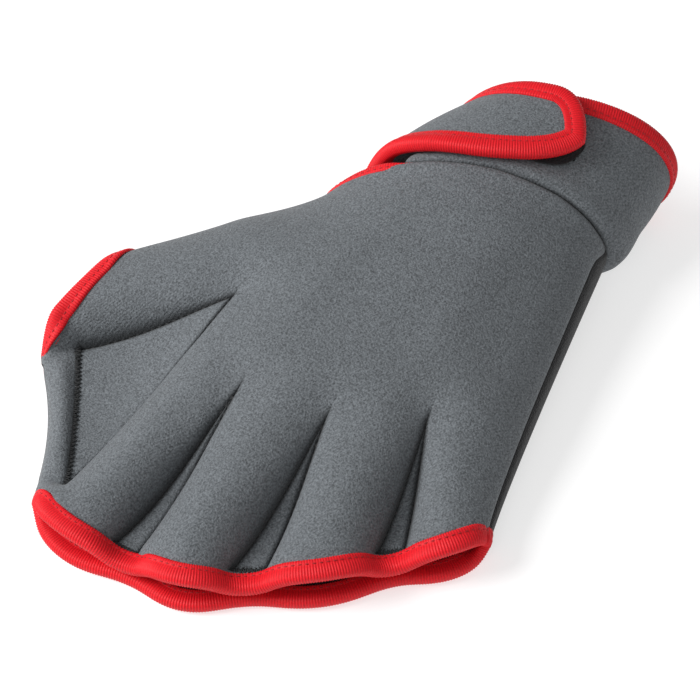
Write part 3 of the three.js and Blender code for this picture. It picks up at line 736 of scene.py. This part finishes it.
def make_piece(bm, name, material, nodes=(), wall=0):
    """Turns a bmesh into a smooth piece that rides with the glove and stands for its solids."""
    bmesh.ops.remove_doubles(bm, verts=bm.verts, dist=0.002 * MM)
    for vert in bm.verts:
        vert.co.z = max(vert.co.z, 0)
    mesh = bpy.data.meshes.new(name)
    bm.to_mesh(mesh)
    bm.free()
    mesh.shade_smooth()
    mesh.materials.append(material)
    piece = add_object(name, mesh)
    if wall:
        solidify = piece.modifiers.new("Wall", "SOLIDIFY")
        solidify.thickness = wall * MM
        solidify.offset = -1
    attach(piece, "root")
    if nodes:
        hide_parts(*nodes)
    return piece


def resample(path, step):
    """Even stops along a path of (edge point, inward direction) pairs, with the length run at each."""
    runs = runs_along([edge for edge, _ in path])
    count = max(round(runs[-1] / step), 4)
    stops = []
    k = 0
    for i in range(count + 1):
        run = runs[-1] * i / count
        while k < len(path) - 2 and runs[k + 1] < run:
            k += 1
        share = clamp((run - runs[k]) / max(runs[k + 1] - runs[k], 1e-9), 0, 1)
        (a, inward_a), (b, inward_b) = path[k], path[k + 1]
        stops.append((run, a.lerp(b, share), inward_a.lerp(inward_b, share)))
    return stops


def frames_along(path, step, closed, folds):
    """Frames along an edge: the length run, the edge point, the directions out and up, and a scale.

    The scale shrinks the tape near folds, each a point, the scale there, and how far that reaches.
    """
    stops = resample(path, step)
    last = len(stops) - 1
    near = max(round(1.2 / step), 1)
    frames = []
    for i, (run, p, _) in enumerate(stops):
        if closed:
            around = [stops[(i + k) % last] for k in range(-near, near + 1)]
        else:
            around = stops[max(i - near, 0) : i + near + 1]
        tangent = (around[-1][1] - around[0][1]).normalized()
        inward = sum((stop[2] for stop in around), Vector((0, 0, 0)))
        out = (tangent * inward.dot(tangent) - inward).normalized()
        scale = 1
        for fold, squeeze, reach in folds:
            scale = min(scale, lerp(squeeze, 1, between(0, reach, (p - fold).length)))
        frames.append(SimpleNamespace(run=run, p=p, out=out, up=out.cross(tangent), scale=scale))
    return frames


def dome(out, inner, outer, height, fullness=2.6):
    """Height at a distance out of a soft ridge between two distances."""
    x = clamp(abs(2 * out - inner - outer) / (outer - inner), 0, 1)
    return height * (1 - x**fullness) ** (1 / fullness)


class TapeSection:
    """The folded tape's section: a roll round the sheet's edge, and a lower flange inside the stitches."""

    reach_out = 1.1
    cover = 1.05
    bite = 0.25
    overlap = 0.75
    # The ribs are lower along the stitches: by this share, and this far out from them.
    flattening = 0.7
    flat_width = 0.8

    def __init__(self, width, wall, stitch_share, flange):
        self.width = width
        self.wall = wall
        self.flange = flange
        self.stitch_at = -width * (1 - stitch_share)

    def height(self, out):
        """Height of the tape's outer face over the sheet's own, at a distance out from the edge."""
        half_wall = self.wall / 2
        roll = dome(out, self.stitch_at - self.overlap, self.reach_out, half_wall + self.cover) - half_wall
        flange = dome(out, -self.width, self.stitch_at + self.overlap, self.flange * self.cover)
        return max(roll, flange) if out < self.stitch_at + self.overlap else roll

    def outline(self, count):
        """Points (out, up, rib weight) round the tape. Up is 0 at the sheet's outer face."""
        middle, half = (self.reach_out - self.width) / 2, (self.reach_out + self.width) / 2
        outs = [middle - half * math.cos(math.pi * i / count) for i in range(count + 1)]
        outs = sorted([*outs, *(self.stitch_at + step for step in (-0.3, 0, 0.3))])
        upper = [(-self.width - 0.05, -self.bite, 0)]
        for out in outs:
            up = max(self.height(out), -self.wall / 2)
            near_stitches = math.exp(-(((out - self.stitch_at) / self.flat_width) ** 2))
            upper.append((out, up, 1 - self.flattening * near_stitches))
        lower = [(out, -self.wall - up, weight) for out, up, weight in reversed(upper[:-1])]
        return [*upper, *lower, (GAP, self.bite - self.wall, 0), (GAP, -self.bite, 0)]


TAPES = {
    "finger": TapeSection(width=5.2, wall=WALL, stitch_share=0.3, flange=0.85),
    "thumb": TapeSection(width=4.8, wall=WALL, stitch_share=0.45, flange=0.85),
    "slit": TapeSection(width=2.4, wall=WALL, stitch_share=0.4, flange=0.85),
    "cuff": TapeSection(width=4.9, wall=CUFF_WALL, stitch_share=0.3, flange=0.85),
    "strap": TapeSection(width=5.6, wall=STRAP_WALL, stitch_share=0.36, flange=0.6),
}
# The scale of each tape where it folds under or ends, and how far that reaches.
SQUEEZES = {"finger": ((0.64, 9), (0.8, 8)), "thumb": ((0.62, 8), (0.52, 15)), "slit": ((0.3, 9),)}
STEPS_PER_RIB = 5
STEPS_PER_STITCH = 8
SECTION_STEPS = 12


def add_tape(bm, path, section, closed, folds):
    """Sweeps the tape's section along an edge, with ribs across it and a UV map in metres."""
    pitch = settings().rib_pitch / MM
    depth = settings().rib_depth / MM
    frames = frames_along(path, pitch / STEPS_PER_RIB, closed, folds)
    outline = section.outline(SECTION_STEPS)
    size = len(outline)
    centre = (section.reach_out - section.width) / 2
    made = bmesh.ops.create_grid(bm, x_segments=len(frames) - 1, y_segments=size, size=0.5)
    uv = bm.loops.layers.uv.verify()
    stations = {}
    for vert in made["verts"]:
        i = round((vert.co.x + 0.5) * (len(frames) - 1))
        j = round((vert.co.y + 0.5) * size)
        stations[vert] = (i, j)
    for face in {face for vert in made["verts"] for face in vert.link_faces}:
        for loop in face.loops:
            i, j = stations[loop.vert]
            loop[uv].uv = (frames[i].run * MM, j * MM)
    for vert, (i, j) in stations.items():
        at = frames[0 if closed and i == len(frames) - 1 else i]
        out, up, weight = outline[j % size]
        rib = weight * depth * math.cos(2 * math.pi * at.run / pitch)
        away = Vector((out - centre, up + section.wall / 2)).normalized() * rib
        half_wall = section.wall / 2
        rise = (up + half_wall) * at.scale - half_wall
        p = at.p + at.out * (out * at.scale + away.x) + at.up * (rise + away.y)
        vert.co = in_frame(*p)
    bmesh.ops.remove_doubles(bm, verts=made["verts"], dist=0.002 * MM)
    if not closed:
        ends = [edge for edge in bm.edges if edge.is_boundary]
        bmesh.ops.holes_fill(bm, edges=ends, sides=size + 1)
    bmesh.ops.recalc_face_normals(bm, faces=bm.faces)


def add_thread(bm, start, end, radius, up=UP):
    """One stitch: a small rounded thread from start to end, in millimetres of the plan."""
    way = end - start
    along_way = way.normalized()
    across = along_way.cross(up).normalized()
    turn = Matrix((across, along_way.cross(across) * -1, along_way)).transposed().to_4x4()
    size = Matrix.Diagonal((radius, radius, way.length / 2 + 0.3 * radius, 1))
    place = Matrix.Scale(MM, 4) @ Matrix.Translation((start + end) / 2 + PLAN_ORIGIN)
    bmesh.ops.create_uvsphere(bm, u_segments=6, v_segments=5, radius=1, matrix=place @ turn @ size)


def add_tape_stitches(bm, path, section, closed, folds):
    """Stitches in the tape's groove, on the outer face (1), and in a closed loop on the inner one (-1)."""
    pitch = settings().stitch_pitch / MM
    frames = frames_along(path, pitch / STEPS_PER_STITCH, closed, folds)
    half_wall = section.wall / 2
    rise = section.height(section.stitch_at) + half_wall
    for i in range(2, len(frames) - 6, STEPS_PER_STITCH):
        ends = (frames[i], frames[i + STEPS_PER_STITCH // 2])
        for face in (1, -1) if closed else (1,):
            start, end = (
                at.p
                + at.out * section.stitch_at * at.scale
                + at.up * (face * (rise * at.scale + 0.05) - half_wall)
                for at in ends
            )
            add_thread(bm, start, end, TAPE_THREAD, ends[0].up)


def hand_rows(first, last):
    """Rows between two marks: fine at the wrist seam and at the rim."""
    near_wrist = [0, 0.02, 0.05, 0.09, 0.14, 0.2, 0.3, 0.45, 0.65]
    rows = [row for row in near_wrist if first <= row]
    rows += [row for row in even_steps(1, LAST_ROW, 60) if first <= row <= last + 1e-9]
    rows += [row for row in (KNUCKLE_ROW, ZIGZAG_ROW, TAPE_ROW) if first <= row <= last]
    return sorted({round(row, 4) for row in rows})


CHANNEL_STEPS = edge_steps(40)
WEB_STEPS = even_steps(0, 1, 10)
FOLD_STEPS = even_steps(0, 1, 36)
WRAP_STEPS = even_steps(0, 1, 8)
# The slit's tape runs between these shares of the thumb's and the index finger's channel.
SLIT_START = 0.04
SLIT_END = 0.7


def strip_steps(strip):
    if strip == 1:
        return FOLD_STEPS
    return WEB_STEPS if strip % 2 else CHANNEL_STEPS


def hand_sheet(bm, point, open_webs, facing_up, painted_shade=None):
    """The back or the palm, strip by strip. The back is open over each web as far as its zigzag seam."""
    for strip in range(LAST_STRIP + 1):
        first = 0
        if strip % 2:
            first = ZIGZAG_ROW if open_webs else KNUCKLE_ROW
        rows = hand_rows(first, TAPE_ROW if strip == 1 else LAST_ROW)
        if facing_up:
            rows.reverse()
        add_patch(bm, strip_steps(strip), rows, partial(point, strip), painted_shade and partial(painted_shade, strip))


def add_stop(path, edge, inside):
    """Adds a point of an edge, and the way in from there, to a path, unless it is where the last one is."""
    if not path or (edge - path[-1][0]).length > 0.01:
        path.append((edge, (inside - edge).normalized()))


def rim_path(strips):
    """The edge of the given strips' rim, over the back and then back under the palm, and its two folds."""
    steps = [(strip, t) for strip in strips for t in strip_steps(strip)]
    around = [(back_point, step) for step in steps]
    if steps[-1][0] == LAST_STRIP:
        around += [(wrap_point, (share,)) for share in WRAP_STEPS]
    around += [(palm_point, step) for step in reversed(steps)]
    path = []
    for point, step in around:
        add_stop(path, point(*step, LAST_ROW), point(*step, TAPE_ROW))
    folds = [path[0][0], palm_point(*steps[-1], LAST_ROW)]
    return [*path, path[0]], folds


def slit_path():
    """The back's edge by the wrist, under the strap's root, from the ulnar to the radial side."""
    path = []
    for strip in (2, 0):
        for t in reversed(strip_steps(strip)):
            if (strip == 0 and t < SLIT_START) or (strip == 2 and t > SLIT_END):
                continue
            places = (place_of(strip, t, 0), place_of(strip, t, 0.5))
            add_stop(path, *(Vector((*place.p, back_height(place) + GAP / 2)) for place in places))
    return path


def cuff_path():
    """The cuff's open edge, from the radial side under the palm to its end under the strap."""
    path = []
    for angle in even_steps(2 * math.pi, CUFF_START, 160):
        add_stop(path, over_cuff(angle, 1, 0), over_cuff(angle, 1 - TAPE_WIDTH / ruling(angle), 0))
    return path


def strap_path():
    """The strap's edge, from its root along the lower side, round the tip and back."""
    along_side = [*even_steps(0, 1, 40), *even_steps(1, 2, 28)[1:]]
    path = []
    for side, order in ((-1, along_side), (1, along_side[::-1][1:])):
        for s in order:
            add_stop(path, strap_point(s, side), strap_point(s, 0.8 * side))
    return path


def set_inputs(node, values):
    for name, value in values.items():
        node.inputs[name].default_value = value


def new_material(name, values):
    """A node material with the given shader values, its node tree, its shader and its coordinates."""
    material = bpy.data.materials.new(name)
    material.use_nodes = True
    tree = material.node_tree
    shader = tree.nodes["Principled BSDF"]
    set_inputs(shader, values)
    return material, tree, shader, tree.nodes.new("ShaderNodeTexCoord").outputs


def noise_texture(tree, vector, size, detail=2, roughness=0.5):
    """Noise with features of the given size in metres."""
    texture = tree.nodes.new("ShaderNodeTexNoise")
    set_inputs(texture, {"Scale": 1 / size, "Detail": detail, "Roughness": roughness})
    tree.links.new(vector, texture.inputs["Vector"])
    return texture.outputs["Fac"]


def rib_texture(tree, vector, pitch, turn=(0, 0, 0)):
    """Bands with the given pitch in metres, across the first coordinate, bright where it is 0."""
    mapping = tree.nodes.new("ShaderNodeMapping")
    set_inputs(mapping, {"Rotation": turn})
    tree.links.new(vector, mapping.inputs["Vector"])
    texture = tree.nodes.new("ShaderNodeTexWave")
    set_inputs(texture, {"Scale": 2 * math.pi / (20 * pitch), "Distortion": 0, "Phase Offset": math.pi})
    tree.links.new(mapping.outputs["Vector"], texture.inputs["Vector"])
    return texture.outputs["Fac"]


def mixed_colour(tree, factor, dark, light):
    """A colour between two, by a factor's spread about its middle."""
    ramp = tree.nodes.new("ShaderNodeValToRGB")
    for element, position, colour in zip(ramp.color_ramp.elements, (0.3, 0.7), (dark, light)):
        element.position = position
        element.color = (*colour, 1)
    tree.links.new(factor, ramp.inputs["Fac"])
    return ramp.outputs["Color"]


def scaled_colour(tree, colour, factor, low, high):
    """A colour made darker or lighter by a factor from 0 to 1."""
    spread = tree.nodes.new("ShaderNodeMapRange")
    set_inputs(spread, {"To Min": low, "To Max": high})
    tree.links.new(factor, spread.inputs["Value"])
    scale = tree.nodes.new("ShaderNodeVectorMath")
    scale.operation = "SCALE"
    tree.links.new(colour, scale.inputs["Vector"])
    tree.links.new(spread.outputs["Result"], scale.inputs["Scale"])
    return scale.outputs["Vector"]


def bump(tree, height, distance, strength, normal=None):
    node = tree.nodes.new("ShaderNodeBump")
    set_inputs(node, {"Distance": distance, "Strength": strength})
    tree.links.new(height, node.inputs["Height"])
    if normal:
        tree.links.new(normal, node.inputs["Normal"])
    return node.outputs["Normal"]


def dress(tree, shader, colour, normal):
    tree.links.new(colour, shader.inputs["Base Color"])
    tree.links.new(normal, shader.inputs["Normal"])


def knit_material(name, colour, contrast, rib_turn):
    """Knit-faced neoprene: a fine grain, faint rows of stitches, slow changes of tone and painted shade in
    the seams.
    """
    values = {"Roughness": 0.78, "Specular IOR Level": 0.35, "Sheen Weight": 0.12, "Sheen Roughness": 0.45}
    material, tree, shader, where = new_material(name, values)
    grain_size = settings().grain_size
    grain = noise_texture(tree, where["Object"], grain_size, roughness=0.6)
    rows = rib_texture(tree, where["Object"], 1.1 * grain_size, rib_turn)
    tone = noise_texture(tree, where["Object"], 0.028, detail=3)
    painted_shade = tree.nodes.new("ShaderNodeAttribute")
    painted_shade.attribute_name = "painted_shade"
    dark, light = [c * (1 - contrast) for c in colour], [c * (1 + contrast) for c in colour]
    tinted = mixed_colour(tree, grain, dark, light)
    tinted = scaled_colour(tree, tinted, rows, 0.95, 1.05)
    tinted = scaled_colour(tree, tinted, tone, 0.9, 1.1)
    # Painted shade: the colour falls to 30 per cent in the seams.
    tinted = scaled_colour(tree, tinted, painted_shade.outputs["Fac"], 1, 0.3)
    normal = bump(tree, rows, distance=0.00012, strength=0.35)
    dress(tree, shader, tinted, bump(tree, grain, 0.0004, 1, normal))
    return material


def tape_material(name, colour):
    """Ribbed tape: painted shade between its ribs, with a fine weave."""
    material, tree, shader, where = new_material(name, {"Roughness": 0.55, "Specular IOR Level": 0.25})
    ribs = rib_texture(tree, where["UV"], settings().rib_pitch)
    weave = noise_texture(tree, where["Object"], 0.0005)
    tone = noise_texture(tree, where["Object"], 0.02)
    tinted = mixed_colour(tree, weave, [c * 0.88 for c in colour], [min(c * 1.1, 1) for c in colour])
    # Painted shade between the ribs, and a little painted light on their tops.
    tinted = scaled_colour(tree, tinted, ribs, 0.84, 1.06)
    tinted = scaled_colour(tree, tinted, tone, 0.92, 1.08)
    dress(tree, shader, tinted, bump(tree, weave, distance=0.00012, strength=0.5))
    return material


def thread_material(name, colour):
    """Twisted sewing thread."""
    material, tree, shader, where = new_material(name, {"Roughness": 0.7})
    twist = noise_texture(tree, where["Object"], 0.0002, detail=1)
    tinted = mixed_colour(tree, twist, [c * 0.7 for c in colour], [c * 1.4 for c in colour])
    dress(tree, shader, tinted, bump(tree, twist, distance=0.0001, strength=0.5))
    return material


def cloth(kind):
    """The material of a kind of cloth or thread, made when it is first asked for."""
    found = bpy.data.materials.get(kind)
    if found:
        return found
    glove = settings()
    if kind == "grey_knit":
        return knit_material(kind, glove.neoprene_colour, 0.5, (0, 0, math.radians(35)))
    if kind == "palm_knit":
        return knit_material(kind, glove.palm_colour, 0.45, (0, 0, math.radians(80)))
    if kind == "edge_tape":
        return tape_material(kind, glove.tape_colour)
    if kind == "tape_thread":
        return thread_material(kind, glove.tape_thread_colour)
    if kind == "seam_thread":
        return thread_material(kind, glove.seam_thread_colour)
    return knit_material("hook_fuzz", glove.hook_colour, 0.8, (0, 0, 0))


class GLOVE_OT_back(bpy.types.Operator):
    """Add the back of the hand: five finger channels pinched where the webs start"""

    bl_idname = "swim_glove.add_back"
    bl_label = "Back Panel"

    def execute(self, context):
        bm = bmesh.new()
        hand_sheet(bm, back_point, open_webs=True, facing_up=True, painted_shade=back_painted_shade)
        make_piece(bm, "back_sheet", cloth("grey_knit"), ["back_panel"], WALL)
        return {"FINISHED"}


class GLOVE_OT_palm(bpy.types.Operator):
    """Add the black palm, which shows along the little finger side"""

    bl_idname = "swim_glove.add_palm"
    bl_label = "Palm Panel"

    def execute(self, context):
        bm = bmesh.new()
        hand_sheet(bm, palm_point, open_webs=False, facing_up=False)
        add_patch(bm, WRAP_STEPS, hand_rows(0, LAST_ROW)[::-1], wrap_point)
        make_piece(bm, "palm_sheet", cloth("palm_knit"), ["palm_panel"], WALL)
        return {"FINISHED"}


class GLOVE_OT_webs(bpy.types.Operator):
    """Add the web panels between thumb and fingers"""

    bl_idname = "swim_glove.add_webs"
    bl_label = "Webs"

    def execute(self, context):
        for i, name in enumerate(("thumb_web", "index_web", "middle_web", "ring_web")):
            strip = 2 * i + 1
            bm = bmesh.new()
            columns = [-1, *edge_steps(44 if i == 0 else 22), 2]
            rows = even_steps(ZIGZAG_ROW - 0.08, KNUCKLE_ROW, 48)
            add_patch(bm, columns, rows, partial(web_point, strip), partial(web_painted_shade, strip))
            make_piece(bm, name + "_sheet", cloth("grey_knit"), [name], WALL)
        return {"FINISHED"}


class GLOVE_OT_seam_thread(bpy.types.Operator):
    """Add the zigzag seams that end the webs, and the stitches along the webs' sides"""

    bl_idname = "swim_glove.add_seam_thread"
    bl_label = "Seam Thread"

    def execute(self, context):
        jitter = random.Random(7)
        bm = bmesh.new()
        for web in range(len(ZIGZAGS)):
            self.zigzag(bm, 2 * web + 1, jitter)
            self.side_stitches(bm, 2 * web + 1)
        make_piece(bm, "web_seam_thread", cloth("seam_thread"))
        return {"FINISHED"}

    def zigzag(self, bm, strip, jitter):
        """Dark zigzag stitches over the web's outer end, with a little loose fibre."""
        pitch, reach = THUMB_ZIGZAG if strip == 1 else FINGER_ZIGZAG
        left, middle, right = (place_of(strip, t, ZIGZAG_ROW).p for t in (0, 0.5, 1))
        outward = (place_of(strip, 0.5, TAPE_ROW).p - middle).normalized()
        count = max(round((right - left).length / pitch), 3)

        def at(share, off, lift=0.2):
            place = place_of(strip, clamp(share, 0, 1), ZIGZAG_ROW)
            p = place.p + outward * off
            return Vector((p.x, p.y, back_height(place) + GAP / 2 + lift))

        for i in range(count):
            share, half = i / count, 0.5 / count
            near = -reach * jitter.uniform(0.8, 1.1)
            far = reach * jitter.uniform(0.75, 1.1)
            add_thread(bm, at(share, near), at(share + half, far), ZIGZAG_THREAD)
            add_thread(bm, at(share + half, far), at(share + 2 * half, near), ZIGZAG_THREAD)
            for _ in range(3):
                fibre = at(share + jitter.random() / count, jitter.uniform(-0.9, 0.9), 0.25)
                way = Vector((jitter.uniform(-1, 1), jitter.uniform(-1, 1), jitter.uniform(0, 0.7)))
                add_thread(bm, fibre, fibre + FIBRE_LENGTH * way.normalized(), LOOSE_FIBRE)

    def side_stitches(self, bm, strip):
        """Short stitches sunk in the seam on each side of a web."""
        for t in (0, 1):
            start, end = place_of(strip, t, KNUCKLE_ROW).p, place_of(strip, t, ZIGZAG_ROW).p
            count = round((end - start).length / SIDE_PITCH)
            for i in range(1, count):
                rows = (lerp(KNUCKLE_ROW, ZIGZAG_ROW, (i + d) / count) for d in (-0.25, 0.25))
                places = [place_of(strip, t, row) for row in rows]
                ends = [Vector((*place.p, back_height(place) - SIDE_SINK)) for place in places]
                add_thread(bm, *ends, SIDE_THREAD)


class GLOVE_OT_cuff(bpy.types.Operator):
    """Add the cuff, open under the strap"""

    bl_idname = "swim_glove.add_cuff"
    bl_label = "Cuff"

    def execute(self, context):
        bm = bmesh.new()
        rows = [-0.03, 0, 0.006, 0.012, 0.02, 0.03, 0.045, 0.07, *even_steps(0.1, 1, 26)]
        add_patch(bm, even_steps(CUFF_START, 2 * math.pi, 150), rows, cuff_surface, cuff_painted_shade)
        make_piece(bm, "cuff_sheet", cloth("grey_knit"), ["cuff"], CUFF_WALL)
        return {"FINISHED"}


class GLOVE_OT_strap(bpy.types.Operator):
    """Add the strap's tab over the back of the wrist, and the hook patch under its tip"""

    bl_idname = "swim_glove.add_strap"
    bl_label = "Strap"

    def execute(self, context):
        bm = bmesh.new()
        lengthways = [*even_steps(0, 1, 50), *even_steps(1, 2, 30)[1:]]
        add_patch(bm, lengthways, even_steps(-1, 1, 32), strap_point)
        make_piece(bm, "strap_sheet", cloth("grey_knit"), ["strap"], STRAP_WALL)
        bm = bmesh.new()
        columns = [math.sin(step * math.pi / 2) for step in even_steps(0, 1, 40)]
        add_patch(bm, columns, even_steps(-1, 1, 40), hook_point)
        make_piece(bm, "hook_sheet", cloth("hook_fuzz"), ["hook_patch"], HOOK.thickness)
        return {"FINISHED"}


class GLOVE_OT_tapes(bpy.types.Operator):
    """Add the ribbed tape round each edge, with its stitches"""

    bl_idname = "swim_glove.add_tapes"
    bl_label = "Edge Tapes"

    def execute(self, context):
        finger_rim, finger_folds = rim_path(range(2, LAST_STRIP + 1))
        thumb_rim, thumb_folds = rim_path((0,))
        slit = slit_path()
        self.tape("finger", finger_rim, finger_folds, closed=True)
        self.tape("thumb", thumb_rim, thumb_folds, closed=True)
        self.tape("slit", slit, [slit[0][0]])
        self.tape("cuff", cuff_path())
        self.tape("strap", strap_path())
        return {"FINISHED"}

    def tape(self, name, path, fold_points=(), closed=False):
        """One edge's tape and its stitches. A closed loop is stitched on both faces."""
        folds = [(point, *squeeze) for point, squeeze in zip(fold_points, SQUEEZES.get(name, ()))]
        bm = bmesh.new()
        add_tape(bm, path, TAPES[name], closed, folds)
        make_piece(bm, name + "_tape", cloth("edge_tape"), [name + "_binding"])
        bm = bmesh.new()
        add_tape_stitches(bm, path, TAPES[name], closed, folds)
        make_piece(bm, name + "_tape_stitches", cloth("tape_thread"))


class GLOVE_OT_stage(bpy.types.Operator):
    """Add the pale floor, the soft light and the camera"""

    bl_idname = "swim_glove.add_stage"
    bl_label = "Stage"

    azimuth = math.radians(29)
    elevation = math.radians(52)
    distance = 0.9
    lens = 152.74
    floor_radius = 4
    # Each light's place as the camera sees it (left, towards the camera, up), its size and its power.
    lamps = {"key_light": ((1.7, 0.1, 1.4), 1.2, 58), "fill_light": ((0.2, 1.1, 1.1), 0.9, 4)}

    def execute(self, context):
        scene = context.scene
        scene.view_settings.view_transform = "Standard"
        self.floor()
        self.lights(scene)
        self.camera(scene)
        return {"FINISHED"}

    def floor(self):
        """A table that glows softly, so that shadows on it stay faint."""
        bm = bmesh.new()
        bmesh.ops.create_circle(bm, cap_ends=True, segments=64, radius=self.floor_radius)
        mesh = bpy.data.meshes.new("floor")
        bm.to_mesh(mesh)
        bm.free()
        white = (1, 1, 1, 1)
        values = {"Base Color": (0.5, 0.5, 0.5, 1), "Emission Color": white, "Emission Strength": 0.6}
        mesh.materials.append(new_material("floor_paper", {**values, "Roughness": 0.9})[0])
        add_object("floor", mesh)

    def lights(self, scene):
        world = bpy.data.worlds.new("soft_room")
        world.use_nodes = True
        set_inputs(world.node_tree.nodes["Background"], {"Color": (1, 1, 1, 1), "Strength": 0.37})
        scene.world = world
        for name, (offset, size, power) in self.lamps.items():
            self.light(name, offset, size, power)

    def light(self, name, offset, size, power):
        left = Vector((-math.cos(self.azimuth), -math.sin(self.azimuth), 0))
        nearer = Vector((math.sin(self.azimuth), -math.cos(self.azimuth), 0))
        place = left * offset[0] + nearer * offset[1] + UP * offset[2]
        lamp = bpy.data.lights.new(name, "AREA")
        lamp.shape = "DISK"
        lamp.size = size
        lamp.energy = power
        self.aim(add_object(name, lamp), place, place)

    def camera(self, scene):
        away = Vector(
            (
                math.sin(self.azimuth) * math.cos(self.elevation),
                -math.cos(self.azimuth) * math.cos(self.elevation),
                math.sin(self.elevation),
            )
        )
        lens = bpy.data.cameras.new("camera")
        lens.lens = self.lens
        lens.sensor_width = 36
        scene.camera = add_object("camera", lens)
        self.aim(scene.camera, PLAN_ORIGIN * MM + away * self.distance, away)

    def aim(self, holder, place, away):
        holder.location = place
        holder.rotation_euler = (-away).to_track_quat("-Z", "Y").to_euler()


PIECES = (
    GLOVE_OT_back,
    GLOVE_OT_palm,
    GLOVE_OT_webs,
    GLOVE_OT_seam_thread,
    GLOVE_OT_cuff,
    GLOVE_OT_strap,
    GLOVE_OT_tapes,
    GLOVE_OT_stage,
)


class GLOVE_PT_panel(bpy.types.Panel):
    """Lists the glove's settings and the steps that build it"""

    bl_idname = "GLOVE_PT_panel"
    bl_label = "Swim Glove"
    bl_space_type = "VIEW_3D"
    bl_region_type = "UI"
    bl_category = "Swim Glove"

    def draw(self, context):
        for name in GloveSettings.__annotations__:
            self.layout.prop(context.scene.swim_glove, name)
        for piece in PIECES:
            self.layout.operator(piece.bl_idname)


def register():
    for part in (GloveSettings, *PIECES, GLOVE_PT_panel):
        bpy.utils.register_class(part)
    bpy.types.Scene.swim_glove = PointerProperty(type=GloveSettings)


def unregister():
    del bpy.types.Scene.swim_glove
    for part in reversed((GloveSettings, *PIECES, GLOVE_PT_panel)):
        bpy.utils.unregister_class(part)


def main():
    register()
    bpy.ops.swim_glove.add_back()
    bpy.ops.swim_glove.add_palm()
    bpy.ops.swim_glove.add_webs()
    bpy.ops.swim_glove.add_seam_thread()
    bpy.ops.swim_glove.add_cuff()
    bpy.ops.swim_glove.add_strap()
    bpy.ops.swim_glove.add_tapes()
    bpy.ops.swim_glove.add_stage()


if __name__ == "__main__":
    main()
